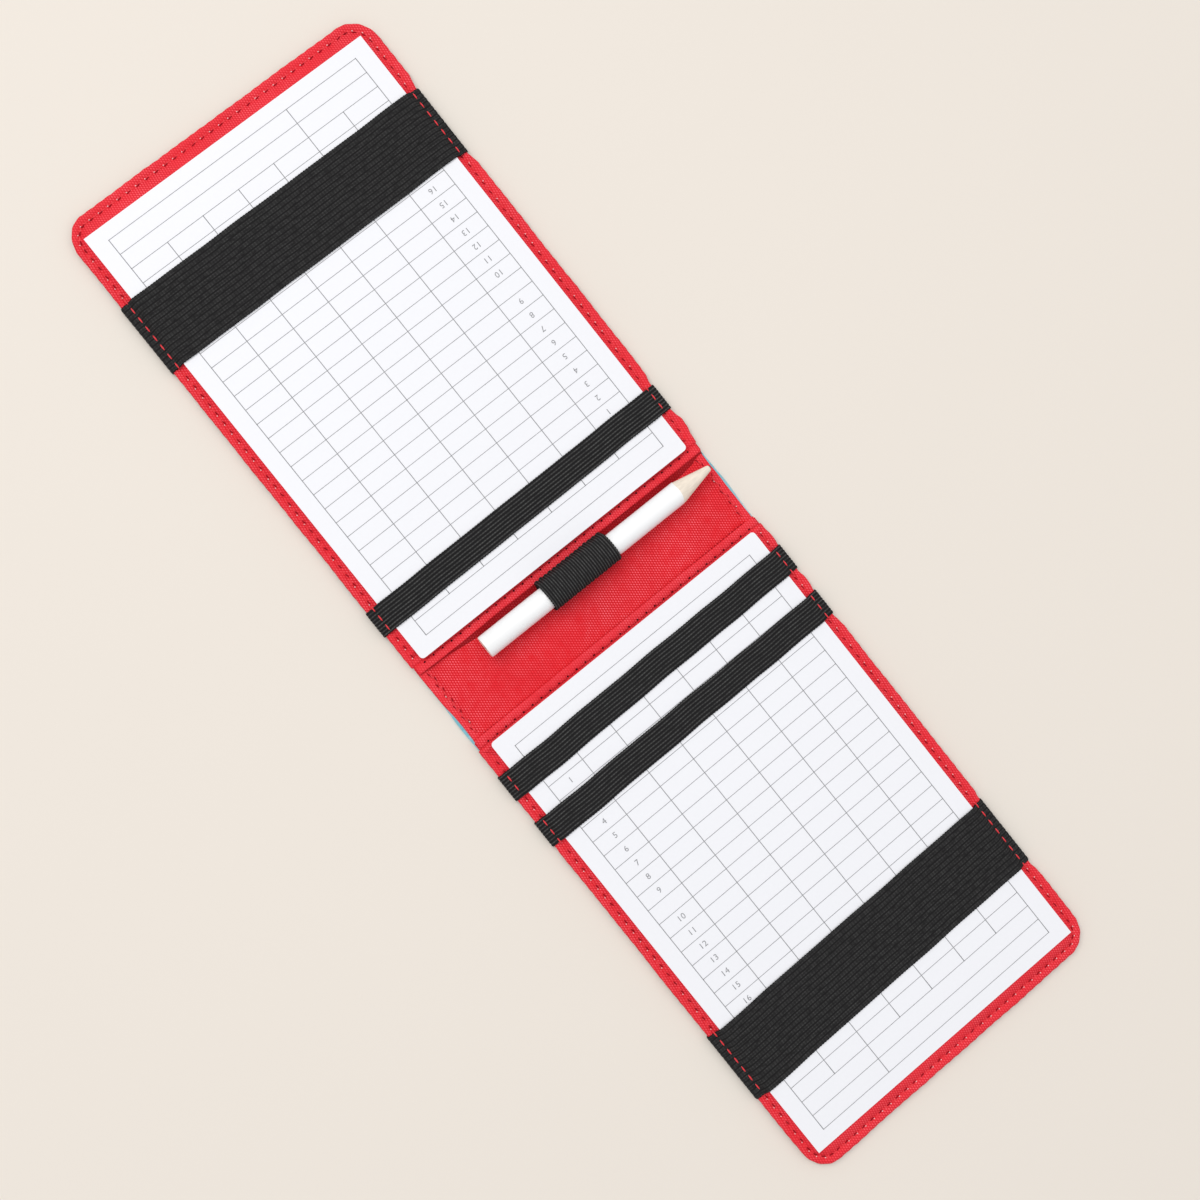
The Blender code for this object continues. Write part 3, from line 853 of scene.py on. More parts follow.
def edge_sway(y, x, cloth, seed):
    """How far the cover's edge stands out: a little everywhere, and more beside the spine."""
    way = -1 if seed else 1
    middle = 1 * MM if way * x > 0 else -9 * MM
    beside = math.exp(-((way * y - middle) / (8 * MM)) ** 2)
    place = y + (200 * MM if x > 0 else 0.0)
    ease = min(1.0, y / (8 * MM))
    loose = cloth.waviness * ease * wander(place, 13 * MM, seed * 4.4)
    return 0.42 * MM * beside + loose


# ---------------------------------------------------------------- spine

class HOLDER_OT_spine(bpy.types.Operator):
    """Build the spine's lining and the cloth that turns into each leaf"""

    bl_idname = "holder.spine"
    bl_label = "Spine lining"

    def execute(self, context):
        cloth = context.scene.holder_cloth
        piece = self.lining(cloth, context.scene.holder_stitch)
        blend_middle(piece)
        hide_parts("spine_lining_upper", "spine_lining_lower")
        for side, turned in SIDES:
            self.fold_cloth(side, turned, cloth)
        return {"FINISHED"}

    def lining(self, cloth, stitch):
        """The lining between the hem strips, with a stitched hem at both short ends."""
        half_x = HALF_WIDTH - 0.9 * MM
        half_y = STRIP_HIGH.y - 0.2 * MM
        hem_width = 3.3 * MM
        row_inset = hem_width - 0.9 * MM
        bm = bmesh.new()
        bmesh.ops.create_grid(bm, x_segments=200, y_segments=64, size=0.5)
        for vert in bm.verts:
            share = vert.co.x * 2
            # Columns crowd towards the short ends, where the hems are
            x = half_x * math.copysign(1 - (1 - abs(share)) ** 1.6, share)
            y = vert.co.y * 2 * half_y
            inset = half_x - abs(x)
            seed = 1.0 if x > 0 else 2.0
            hem = 1.0 / (1.0 + math.exp((inset - hem_width) / (0.25 * MM)))
            near_row = math.exp(-((inset - row_inset) / (0.5 * MM)) ** 2)
            z = SPINE_LINING_HIGH.z + 0.75 * MM * hem
            z -= (0.3 * MM + cloth.pucker * stitch_tug(y, stitch)) * near_row * hem
            z += 0.24 * MM * noise.noise(Vector((x / (9 * MM), y / (14 * MM), 3.0)))
            z += 0.05 * MM * noise.noise(Vector((x / (2.4 * MM), y / (3 * MM), 8.0)))
            if inset < 0.5 * MM:
                z -= 0.5 * MM * (1 - inset / (0.5 * MM)) ** 2
            out = cloth.waviness * 1.3 * wander(y, 8 * MM, seed)
            if x < 0:
                # The hem at the pencil's blunt end steps out on the upper half
                out += 0.6 * MM / (1 + math.exp(-(y + 1 * MM) / (1.2 * MM)))
            out *= math.exp(-inset / (3 * MM))
            vert.co = (x + math.copysign(out, x), y, z)
        material = red_cloth("red_twill", cloth, cloth.red, 0.18 * MM, 0.8)
        piece = finish_piece(bm, "spine_lining_cloth", material)
        piece.data.materials.append(border_cloth(cloth))
        for polygon in piece.data.polygons:
            if abs(polygon.center.x) > half_x - row_inset:
                polygon.material_index = 1
        thicken(piece, cloth.lining_thickness)
        return piece

    def fold_cloth(self, side, turned, cloth):
        """The cloth that runs from under the hem strip into the leaf, across the fold."""
        reach = 2.6 * MM
        bm = bmesh.new()
        bmesh.ops.create_grid(bm, x_segments=60, y_segments=14, size=0.5)
        for vert in bm.verts:
            y = FOLD_Y + vert.co.y * 2 * reach
            x = vert.co.x * 2 * (HALF_WIDTH - 0.35 * MM)
            vert.co = (x, y, LINING_LOW.z + 0.35 * MM + 0.15 * MM * vert.co.y)
        piece = finish_piece(bm, f"{side}_fold_cloth", border_cloth(cloth), turned)
        thicken(piece, cloth.lining_thickness)
        blend_leaf(piece, turned)


# How far the top of a hem strip lies under the top of its CAD node
SAG = 0.05 * MM


class HOLDER_OT_hems(bpy.types.Operator):
    """Build the folded hem strips beside the cards"""

    bl_idname = "holder.hems"
    bl_label = "Hem strips"

    def execute(self, context):
        cloth = context.scene.holder_cloth
        stitch = context.scene.holder_stitch
        length = 2 * (HALF_WIDTH - 0.75 * MM)
        for seed, (side, turned) in enumerate(SIDES):
            bm = self.strip(side, length, round(length / (stitch.pitch / 6)))
            self.soften(bm, length, cloth, stitch, seed)
            piece = finish_piece(bm, f"{side}_hem_fold", border_cloth(cloth), turned)
            # Only the upper strip's wall gets painted shade
            if side == "upper":
                self.shade_wall(piece, cloth)
            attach(piece, f"spine_{side}")
            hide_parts(f"{side}_hem_strip")
        return {"FINISHED"}

    def shade_wall(self, piece, cloth):
        """Paint shade onto the wall that drops to the spine: a darker red that stands in for the
        shadow there.
        """
        piece.data.materials.append(red_cloth(
            "red_painted_shade", cloth, [0.5 * c for c in cloth.red], 0.18 * MM, 0.3))
        for polygon in piece.data.polygons:
            # The wall's low faces on the spine side take the painted shade
            if (polygon.center.y < STRIP_LOW.y + 0.12 * MM
                    and polygon.center.z < STRIP_HIGH.z - 0.35 * MM):
                polygon.material_index = 1

    def strip(self, side, length, steps):
        """A bar along X with a sloping wall towards the spine."""
        width = STRIP_HIGH.y - STRIP_LOW.y
        top = STRIP_HIGH.z - SAG
        floor = SPINE_LINING_HIGH.z - 0.25 * MM
        # Only the upper strip stands over a wide wall, beside the pencil
        foot, edge = (-0.95, 0.08) if side == "upper" else (-0.12, 0.0)
        # Shares of the strip's width, and heights
        section = [(foot, floor - 0.3 * MM), (foot, floor + 0.05 * MM),
                   (0.8 * foot, floor + 0.45 * MM), (edge - 0.06, top - 0.45 * MM),
                   (edge, top - 0.12 * MM), (edge + 0.1, top), (0.4, top + 0.03 * MM),
                   (0.75, top - 0.02 * MM), (0.91, top - 0.16 * MM), (0.99, top - 0.35 * MM),
                   (1.0, top - 0.9 * MM), (0.97, STRIP_LOW.z - 0.15 * MM)]
        section = smooth_line([(0.0, STRIP_LOW.y + share * width, z)
                               for share, z in section], 2)
        bm = bmesh.new()
        ends = [bm.verts.new(point - Vector((length / 2, 0.0, 0.0))) for point in section]
        ring = [bm.edges.new((a, b)) for a, b in zip(ends, ends[1:] + ends[:1])]
        first = ring
        for _ in range(steps):
            swept = bmesh.ops.extrude_edge_only(bm, edges=ring)["geom"]
            verts = [item for item in swept if isinstance(item, bmesh.types.BMVert)]
            bmesh.ops.translate(bm, vec=(length / steps, 0.0, 0.0), verts=verts)
            ring = [item for item in swept if isinstance(item, bmesh.types.BMEdge)
                    and item.is_boundary]
        bmesh.ops.edgeloop_fill(bm, edges=first)
        bmesh.ops.edgeloop_fill(bm, edges=ring)
        bmesh.ops.recalc_face_normals(bm, faces=bm.faces[:])
        return bm

    def soften(self, bm, length, cloth, stitch, seed):
        """Let a strip wander, pull it down at its needle holes, and draw in its wall."""
        low_y, low_z = STRIP_LOW.y, STRIP_LOW.z
        hole_y = low_y + HOLE_SHARE * (STRIP_HIGH.y - low_y)
        for vert in bm.verts:
            if vert.co.y < low_y:
                # The wall, with the painted shade on it, is wide beside the pencil and fades out
                # past its blunt end
                share = 0.12 + 0.88 * soft_step((vert.co.x + 50 * MM) / (26 * MM))
                share *= 1 - 0.6 * abs(2 * vert.co.x / length) ** 5
                vert.co.y = low_y + (vert.co.y - low_y) * share
            lift = max(0.0, (vert.co.z - low_z) / (STRIP_HIGH.z - SAG - low_z))
            near = math.exp(-((vert.co.y - hole_y) / (0.5 * MM)) ** 2)
            sway = 0.22 * MM * wander(vert.co.x, 16 * MM, seed * 6.6 + 3)
            vert.co.y += sway * (1 if vert.co.y < hole_y else 0.3)
            vert.co.z -= lift * cloth.pucker * 1.6 * stitch_tug(vert.co.x, stitch) * near
            vert.co.z += lift * 0.14 * MM * wander(vert.co.x, 9 * MM, seed * 2.2 + 7)


# ---------------------------------------------------------------- elastic

# The middle of a band's thickness, in millimetres from the leaf's edge and above the floor
BAND_LINE = [(-6.3, 0.42), (-3.5, 0.42), (-1.2, 0.44), (-0.1, 0.62), (0.45, 1.15), (0.5, 1.9),
             (0.3, 2.65), (-0.3, 3.12), (-1.1, 3.26), (-1.9, 3.3), (-2.6, 3.75),
             (-3.3, 4.5), (-4.0, 5.08), (-4.9, 5.32), (-6.5, 5.36), (-10.0, 5.28),
             (-16.0, 5.25), (-22.0, 5.25), (-30.0, 5.25), (-40.0, 5.25)]
# Millimetres that each band was sewn off its mark: outwards, and askew
BAND_DRIFTS = {"upper_narrow_band": (-0.3, 0.6), "upper_wide_band": (-0.4, 0.2),
               "lower_inner_narrow_band": (0.1, 1.0), "lower_outer_narrow_band": (0.0, 0.8),
               "lower_wide_band": (0.1, 1.4)}


class HOLDER_OT_bands(bpy.types.Operator):
    """Build the elastic bands that hold the cards"""

    bl_idname = "holder.bands"
    bl_label = "Elastic bands"

    def execute(self, context):
        elastic = context.scene.holder_elastic
        wide = ribbed_elastic("wide_elastic", elastic, elastic.rib_pitch / 2, 0.65, True)
        narrow = ribbed_elastic("narrow_elastic", elastic, elastic.narrow_rib_pitch, 0.5)
        half = [Vector((HALF_WIDTH + out * MM, 0.0, z * MM)) for out, z in BAND_LINE]
        mirrored = [Vector((-point.x, point.y, point.z)) for point in half]
        line = even_line(smooth_line(mirrored + half[::-1], 6), 0.35 * MM)
        for side, turned in SIDES:
            for band in BANDS[side]:
                name = f"{side}_{band}"
                middle, width = BAND_PLACES[side, band]
                is_wide = band == "wide_band"
                material = wide if is_wide else narrow
                pitch = elastic.rib_pitch if is_wide else elastic.narrow_rib_pitch
                ribs = round(width / pitch)
                depth = elastic.rib_depth * (0.6 if is_wide else 0.8)
                drift, skew = BAND_DRIFTS[name]

                def shift(point):
                    return middle + (drift + skew * point.x / (2 * HALF_WIDTH)) * MM

                bm = strap(line, Vector((0, 1, 0)), width - 0.2 * MM, shift, ribs,
                           depth, elastic, len(name) * 1.7)
                piece = finish_piece(bm, f"{name}_elastic", material, turned)
                thicken(piece, elastic.thickness)
                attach(piece, f"{side}_leaf")
                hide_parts(name)
        return {"FINISHED"}


class HOLDER_OT_loop(bpy.types.Operator):
    """Build the elastic loop round the pencil"""

    bl_idname = "holder.loop"
    bl_label = "Pencil loop"

    def execute(self, context):
        elastic = context.scene.holder_elastic
        material = ribbed_elastic("loop_elastic", elastic, elastic.loop_rib_pitch / 2, 0.35)
        middle_y = (CASING_LOW.y + CASING_HIGH.y) / 2
        middle_z = (CASING_LOW.z + CASING_HIGH.z) / 2
        radius = (CASING_HIGH.z - CASING_LOW.z) / 2 + 0.65 * MM
        tail_y = STRIP_LOW.y + 1.6 * MM
        floor_z = middle_z - radius
        # Out from under the hem strip, under and round the pencil, and back down to the strip
        line = [Vector((0.0, tail_y, floor_z)), Vector((0.0, STRIP_LOW.y - 0.6 * MM, floor_z))]
        arc_steps = 24
        for step in range(arc_steps + 1):
            angle = math.radians(-90 - 250 * step / arc_steps)
            line.append(Vector((0.0, middle_y + 1.06 * radius * math.cos(angle),
                                middle_z + radius * math.sin(angle))))
        line += [Vector((0.0, STRIP_LOW.y - 0.2 * MM, floor_z + 2.2 * MM)),
                 Vector((0.0, STRIP_LOW.y + 0.25 * MM, floor_z + 0.9 * MM)),
                 Vector((0.0, tail_y, floor_z + 0.6 * MM))]
        line = even_line(smooth_line(line, 3), 0.3 * MM)
        width = LOOP_HIGH.x - LOOP_LOW.x
        ribs = round(width / elastic.loop_rib_pitch)
        bm = strap(line, Vector((-1, 0, 0)), width, lambda point: -LOOP_DRIFT, ribs,
                   1.15 * elastic.rib_depth, elastic, 5.0)
        piece = finish_piece(bm, "pencil_loop_elastic", material)
        thicken(piece, elastic.thickness)
        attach(piece, "spine_upper")
        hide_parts("pencil_loop")
        return {"FINISHED"}


# ---------------------------------------------------------------- stitching

def stitch_shape(stitch):
    """One stitch along X: a slim bead whose ends dive into the cloth."""
    bm = bmesh.new()
    bmesh.ops.create_uvsphere(bm, u_segments=8, v_segments=6, radius=0.5)
    quarter = Matrix.Rotation(math.pi / 2, 3, "Y")
    bmesh.ops.rotate(bm, cent=(0, 0, 0), matrix=quarter, verts=bm.verts)
    size = (stitch.length, stitch.width, 0.8 * stitch.width)
    bmesh.ops.scale(bm, vec=size, verts=bm.verts)
    for vert in bm.verts:
        vert.co.z -= 0.35 * stitch.width * (2 * vert.co.x / stitch.length) ** 2
    mesh = bpy.data.meshes.new("stitch")
    bm.to_mesh(mesh)
    bm.free()
    return mesh


def hole_shape(size):
    """A needle hole or a knot: a flat lens of a given size."""
    bm = bmesh.new()
    bmesh.ops.create_uvsphere(bm, u_segments=8, v_segments=4, radius=0.5)
    bmesh.ops.scale(bm, vec=size, verts=bm.verts)
    mesh = bpy.data.meshes.new("hole")
    bm.to_mesh(mesh)
    bm.free()
    return mesh


def scatter(template, places):
    """Copies of a small mesh at (point, direction) places, in one bmesh."""
    bm = bmesh.new()
    for i, (point, direction) in enumerate(places):
        copy = template.copy()
        turn = Matrix.Rotation(math.atan2(direction.y, direction.x)
                               + 0.05 * noise.noise(Vector((i * 3.1, 0, 0))), 4, "Z")
        copy.transform(Matrix.Translation(point) @ turn)
        bm.from_mesh(copy)
        bpy.data.meshes.remove(copy)
    return bm


class HOLDER_OT_stitches(bpy.types.Operator):
    """Sew the stitch rows and needle holes"""

    bl_idname = "holder.stitches"
    bl_label = "Stitching"

    def execute(self, context):
        stitch = context.scene.holder_stitch
        cloth = context.scene.holder_cloth
        thread = thread_finish(stitch)
        dark = hole_finish("needle_hole", (0.020, 0.001, 0.002), (0.075, 0.002, 0.005))
        # Dark red lenses that paint the shadow in the dents beside the threads and in the hem
        # seam
        dent_shadow_finish = hole_finish("painted_dent_shadow", (0.20, 0.003, 0.008), (0.40, 0.008, 0.018))
        bead = stitch_shape(stitch)
        hole = hole_shape((0.72 * MM, 0.55 * MM, 0.3 * MM))
        dent_shadow = hole_shape((1.7 * MM, 0.38 * MM, 0.3 * MM))
        seam_shadow_dash = hole_shape((0.75 * MM, 0.30 * MM, 0.4 * MM))
        knot = hole_shape((0.5 * MM, 0.34 * MM, 0.3 * MM))
        pale = knot_finish()
        for side, turned in SIDES:
            leaf, spine = f"{side}_leaf", f"spine_{side}"
            top, under, dent_shadows, knots = self.leaf_rows(side, stitch, cloth)
            sewn = [("edge_stitches", bead, top, thread, leaf, f"{side}_edge_thread"),
                    ("back_stitches", bead, under, thread, leaf, None),
                    ("edge_dent_shadows", dent_shadow, dent_shadows, dent_shadow_finish, leaf, None),
                    ("edge_knots", knot, knots, pale, leaf, None)]
            if turned:
                sewn.append(("hem_seam", seam_shadow_dash, self.seam_row(), dent_shadow_finish, spine, None))
            rows, holes = self.strip_rows(stitch)
            sewn += [("hem_stitches", bead, rows, thread, spine, f"{side}_spine_thread"),
                     ("hem_holes", hole, holes, dark, spine, None)]
            for name, shape, places, finish, body, node in sewn:
                piece = finish_piece(scatter(shape, places), f"{side}_{name}", finish, turned)
                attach(piece, body)
                if node:
                    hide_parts(node)
        rows, dent_shadows, knots = self.end_rows(stitch)
        for name, shape, places, finish in (("stitches", bead, rows, thread),
                                            ("dent_shadows", dent_shadow, dent_shadows, dent_shadow_finish),
                                            ("knots", knot, knots, pale)):
            piece = finish_piece(scatter(shape, places), f"spine_end_{name}", finish)
            blend_middle(piece)
        return {"FINISHED"}

    def leaf_rows(self, side, stitch, cloth):
        """Places of a leaf's stitches, above and below, and of their painted dent shadows and
        knots.
        """
        outline = leaf_outline(cloth.corner_radius, stitch.pitch / 6)
        sewn = [place for place in outline if place[1].y > -0.5]
        length = sewn[-1][2]
        top, under, dent_shadows, knots = [], [], [], []
        for number in range(1, int(length / stitch.pitch)):
            run = (number + 0.5) * stitch.pitch
            point, outward, _ = min(sewn, key=lambda place: abs(place[2] - run))
            spot = drawn_in(point, outward, STITCH_INSET, cloth.corner_radius)
            spot += outward * cloth.waviness * 0.5 * wander(run, 21 * MM, 4.0)
            spot = spread(spot, side)
            along = Vector((-outward.y, outward.x, 0.0))
            banded = band_clearance(side, spot.y) < 0.3 * MM and abs(outward.x) > 0.9
            spot.z = 3.66 * MM if banded else LINING_LOW.z + 0.5 * MM
            top.append((spot, along))
            below = spot.copy()
            below.z = 0.22 * MM if banded else LEAF_LOW.z - 0.1 * MM
            under.append((below, along))
            if not banded:
                tilt = Matrix.Rotation(0.22 + 0.2 * wander(run, 3 * MM, 6.0), 3, "Z")
                # A dark lens beside the stitch paints the shadow of the dent that the thread
                # lies in
                dent_shadow = spot + along * 0.3 * stitch.pitch - outward * 0.22 * MM
                dent_shadows.append((dent_shadow + Vector((0, 0, 0.10 * MM)), tilt @ along))
                if noise.noise(Vector((run / (2.3 * MM), 5.0, 0.0))) > -0.15:
                    knots.append((spot + along * 0.5 * stitch.pitch + outward * 0.1 * MM
                                  + Vector((0, 0, 0.06 * MM)), tilt @ along))
        return top, under, dent_shadows, knots

    def seam_row(self):
        """Places of the fine dark dashes of painted shade in the seam between the spine lining
        and a hem strip.
        """
        pitch = 1.2 * MM
        y = STRIP_LOW.y - 0.15 * MM
        z = SPINE_LINING_HIGH.z + 0.32 * MM
        return [(Vector((pitch * i, y, z)), Vector((1, 0.1, 0))) for i in range(-44, 45)]

    def strip_rows(self, stitch):
        """Places of the stitches and holes along a hem strip."""
        rows, holes = [], []
        width = STRIP_HIGH.y - STRIP_LOW.y
        count = int((HALF_WIDTH - 3 * MM) / stitch.pitch)
        along = Vector((1.0, 0.0, 0.0))
        for number in range(-count, count + 1):
            x = number * stitch.pitch
            y = STRIP_LOW.y + HOLE_SHARE * width
            height = STRIP_HIGH.z - 0.3 * MM
            holes.append((Vector((x, y, height)), along))
            rows.append((Vector((x + stitch.pitch / 2, y, height - 0.22 * MM)), along))
        return rows, holes

    def end_rows(self, stitch):
        """Places of the rope-like stitch row along each short end of the spine."""
        rows, dent_shadows, knots = [], [], []
        pitch = 0.6 * stitch.pitch
        count = int((STRIP_LOW.y - 0.5 * MM) / pitch)
        for number in range(-count, count + 1):
            for way in (-1, 1):
                y = number * pitch
                lean = 0.28 * (-1) ** number + 0.35 * wander(y, 2 * MM, way)
                along = Vector((lean, 1.0, 0.0))
                x = way * (HALF_WIDTH - 3.1 * MM + 0.45 * MM * wander(y, 6 * MM, way))
                spot = Vector((x, y, SPINE_LINING_HIGH.z + 0.62 * MM))
                rows.append((spot, along))
                # A dark lens beside each stitch paints the shadow of the rope's dent
                side_step = Vector((0.42 * MM * (-1) ** number, pitch / 2, 0.0))
                dent_shadows.append((spot + side_step, along))
                if number % 5 == 2:
                    knots.append((spot - side_step + Vector((0, 0, 0.12 * MM)), along))
        return rows, dent_shadows, knots


# ---------------------------------------------------------------- cards

def card_height(side, x, y):
    """Height of a card's upper face: flat under the bands and slightly raised between them."""
    share = max(0.0, min(1.0, band_clearance(side, y) / (22 * MM)))
    across = 1 - (x / CARD_HIGH.x) ** 2
    ends = min(1.0, (CARD_HIGH.y - y) / (12 * MM), (y - CARD_LOW.y) / (12 * MM))
    return CARD_HIGH.z + 0.35 * MM * share * across * max(0.0, ends)


class HOLDER_OT_cards(bpy.types.Operator):
    """Build the score cards and their printed table"""

    bl_idname = "holder.cards"
    bl_label = "Score cards"

    def execute(self, context):
        card = context.scene.holder_card
        paper = card_paper(card)
        ink = card_ink(card)
        for side, turned in SIDES:
            bm = self.sheet(side)
            piece = finish_piece(bm, f"{side}_card_sheet", paper, turned, crisp=True)
            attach(piece, f"{side}_card")
            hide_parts(f"{side}_score_card")
            bm = bmesh.new()
            self.table(bm, card)
            self.numbers(bm, card)
            for vert in bm.verts:
                vert.co.z = card_height(side, vert.co.x, vert.co.y) + 0.025 * MM
            face_up(bm)
            piece = finish_piece(bm, f"{side}_card_print", ink, turned)
            thicken(piece, 0.02 * MM)
            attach(piece, f"{side}_card")
        return {"FINISHED"}

    def sheet(self, side):
        """The card, with its two inner corners slightly rounded."""
        radius = 1.3 * MM
        bm = bmesh.new()
        bmesh.ops.create_grid(bm, x_segments=1, y_segments=1, size=0.5)
        size = CARD_HIGH - CARD_LOW
        bmesh.ops.scale(bm, vec=(size.x, size.y, 1.0), verts=bm.verts)
        middle = (CARD_LOW + CARD_HIGH) / 2
        bmesh.ops.translate(bm, vec=(middle.x, middle.y, 0.0), verts=bm.verts)
        inner = [vert for vert in bm.verts if vert.co.y < middle.y]
        bmesh.ops.bevel(bm, geom=inner, offset=radius, segments=6, affect="VERTICES",
                        profile=0.5, material=-1)
        for axis, low, high, step in (((1, 0, 0), CARD_LOW.x, CARD_HIGH.x, 5 * MM),
                                      ((0, 1, 0), CARD_LOW.y, CARD_HIGH.y, 4 * MM)):
            for cut in range(1, int((high - low) / step)):
                plane = Vector(axis) * (low + cut * step)
                bmesh.ops.bisect_plane(bm, geom=bm.verts[:] + bm.edges[:] + bm.faces[:],
                                       plane_co=plane, plane_no=axis)
        for vert in bm.verts:
            vert.co.z = card_height(side, vert.co.x, vert.co.y)
        face_up(bm)
        under = bmesh.ops.extrude_face_region(bm, geom=bm.faces[:], use_keep_orig=True)["geom"]
        under = [item for item in under if isinstance(item, bmesh.types.BMVert)]
        bmesh.ops.translate(bm, vec=(0, 0, CARD_LOW.z - CARD_HIGH.z), verts=under)
        bmesh.ops.recalc_face_normals(bm, faces=bm.faces[:])
        return bm

    def line(self, bm, start, end, width):
        """One printed line between two points."""
        start, end = Vector(start), Vector(end)
        along = end - start
        pieces = max(1, round(along.length / (5 * MM)))
        made = bmesh.ops.create_grid(bm, x_segments=pieces, y_segments=1, size=0.5)
        turn = Matrix.Rotation(math.atan2(along.y, along.x), 3, "Z")
        bmesh.ops.scale(bm, vec=(along.length + width, width, 1.0), verts=made["verts"])
        bmesh.ops.rotate(bm, cent=(0, 0, 0), matrix=turn, verts=made["verts"])
        bmesh.ops.translate(bm, vec=((start + end) / 2).to_3d(), verts=made["verts"])

    def table(self, bm, card):
        """The table: a title row, a header, 18 holes with totals, and two signature rows."""
        columns, rows, signature_rows = 7, 28, 2
        left = columns * card.column_pitch / 2
        top = CARD_LOW.y + card.margin
        bottom = top + rows * card.row_pitch
        for row in range(rows + 1):
            y = top + row * card.row_pitch
            self.line(bm, (-left, y), (left, y), card.line_width)
        for column in range(columns + 1):
            x = left - column * card.column_pitch
            outer = column in (0, columns)
            first = top if outer else top + card.row_pitch
            last = bottom if outer or column == 2 else bottom - signature_rows * card.row_pitch
            self.line(bm, (x, first), (x, last), 1.35 * card.line_width)

    def numbers(self, bm, card):
        """The hole numbers 1 to 18 in the first column."""
        x = 3 * card.column_pitch
        for number in range(1, 19):
            # Three rows come before the first hole, and one row of totals after the ninth
            row = 2.5 + number + (1 if number > 9 else 0)
            y = CARD_LOW.y + card.margin + row * card.row_pitch
            text = bpy.data.curves.new("number", "FONT")
            text.body = str(number)
            text.size = card.digit_height
            text.align_x = "CENTER"
            text.align_y = "CENTER"
            text.space_character = 1.1
            text.resolution_u = 3
            holder = bpy.data.objects.new("number", text)
            shape = bpy.data.meshes.new_from_object(holder)
            shape.transform(Matrix.Translation((x, y, 0.0)) @ Matrix.Rotation(math.pi, 4, "Z"))
            bm.from_mesh(shape)
            bpy.data.objects.remove(holder)
            bpy.data.meshes.remove(shape)


# ---------------------------------------------------------------- pencil

def turned_shape(profile, steps):
    """A closed shape turned about X from a profile of (x, radius)."""
    bm = bmesh.new()
    verts = [bm.verts.new((x, 0.0, radius)) for x, radius in profile]
    edges = [bm.edges.new(pair) for pair in zip(verts, verts[1:])]
    bmesh.ops.spin(bm, geom=verts + edges, cent=(0, 0, 0), axis=(1, 0, 0), dvec=(0, 0, 0),
                   angle=2 * math.pi, steps=steps, use_merge=True, use_duplicate=False)
    bmesh.ops.remove_doubles(bm, verts=bm.verts, dist=0.001 * MM)
    bmesh.ops.recalc_face_normals(bm, faces=bm.faces[:])
    return bm


class HOLDER_OT_pencil(bpy.types.Operator):
    """Build the pencil's paint, wood and lead"""

    bl_idname = "holder.pencil"
    bl_label = "Pencil"

    def execute(self, context):
        pencil = context.scene.holder_pencil
        start_x, end_x = CASING_LOW.x, CASING_HIGH.x
        radius = (CASING_HIGH.z - CASING_LOW.z) / 2
        lead = (LEAD_HIGH.z - LEAD_LOW.z) / 2
        shoulder = end_x - 12.8 * MM
        centre = Vector((0.0, (CASING_LOW.y + CASING_HIGH.y) / 2,
                         (CASING_LOW.z + CASING_HIGH.z) / 2))
        skin = 0.07 * MM
        core = radius - skin
        # The paint turns in over the blunt end
        paint = [(start_x + 0.35 * MM, core - 0.25 * MM),
                 (start_x + 0.02 * MM, core - 0.3 * MM),
                 (start_x, radius - 0.35 * MM), (start_x + 0.1 * MM, radius - 0.12 * MM),
                 (start_x + 0.35 * MM, radius)]
        length = shoulder - start_x
        paint += [(start_x + length * share, radius) for share in (0.25, 0.5, 0.75, 0.97)]
        paint += [(shoulder, radius), (shoulder + 0.02 * MM, radius - skin / 2),
                  (shoulder, core)]
        bm = turned_shape(paint, 48)
        self.wave_paint_edge(bm, shoulder, pencil.scallop)
        self.add(bm, "pencil_paint_coat", pencil_paint(pencil), centre, "pencil_casing")
        wood = [(start_x + 0.06 * MM, lead), (start_x + 0.05 * MM, core - 0.3 * MM),
                (start_x + 0.3 * MM, core - 0.02 * MM), (shoulder - 2 * MM, core - 0.02 * MM),
                (shoulder + 0.3 * MM, core - 0.05 * MM)]
        cone = end_x - shoulder
        wood += [(shoulder + cone * share, core + (lead + 0.35 * MM - core) * share)
                 for share in (0.12, 0.3, 0.5, 0.7, 0.88, 0.95)]
        wood += [(end_x - 0.15 * MM, lead + 0.3 * MM), (end_x, lead + 0.05 * MM)]
        wood += [(end_x - 1 * MM, lead)]
        bm = turned_shape(wood + [(start_x + 1 * MM, lead)], 48)
        self.add(bm, "pencil_wood_core", pencil_wood(pencil), centre)
        carried = frame["nodes"]["pencil_lead"]
        carried.data.materials.clear()
        carried.data.materials.append(graphite())
        return {"FINISHED"}

    def wave_paint_edge(self, bm, shoulder, scallop):
        """Give the paint its wavy end, where the sharpener cut through it."""
        for vert in bm.verts:
            near = max(0.0, 1 - abs(shoulder - vert.co.x) / (1.5 * MM))
            angle = math.atan2(vert.co.z, vert.co.y)
            vert.co.x += scallop * near * (math.cos(angle) + 0.5 * math.cos(3 * angle + 1))

    def add(self, bm, name, material, centre, *nodes):
        """Place a pencil piece on the pencil's axis."""
        bmesh.ops.translate(bm, vec=centre, verts=bm.verts)
        piece = finish_piece(bm, name, material)
        piece.data.set_sharp_from_angle(angle=math.radians(40))
        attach(piece, "pencil")
        if nodes:
            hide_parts(*nodes)


class HOLDER_OT_boards(bpy.types.Operator):
    """Give the boards inside the leaves their raw grey finish"""

    bl_idname = "holder.boards"
    bl_label = "Boards"

    def execute(self, context):
        material = grey_board()
        for side, _ in SIDES:
            board = frame["nodes"][f"{side}_board"]
            board.data.materials.clear()
            board.data.materials.append(material)
        return {"FINISHED"}


# ---------------------------------------------------------------- stage

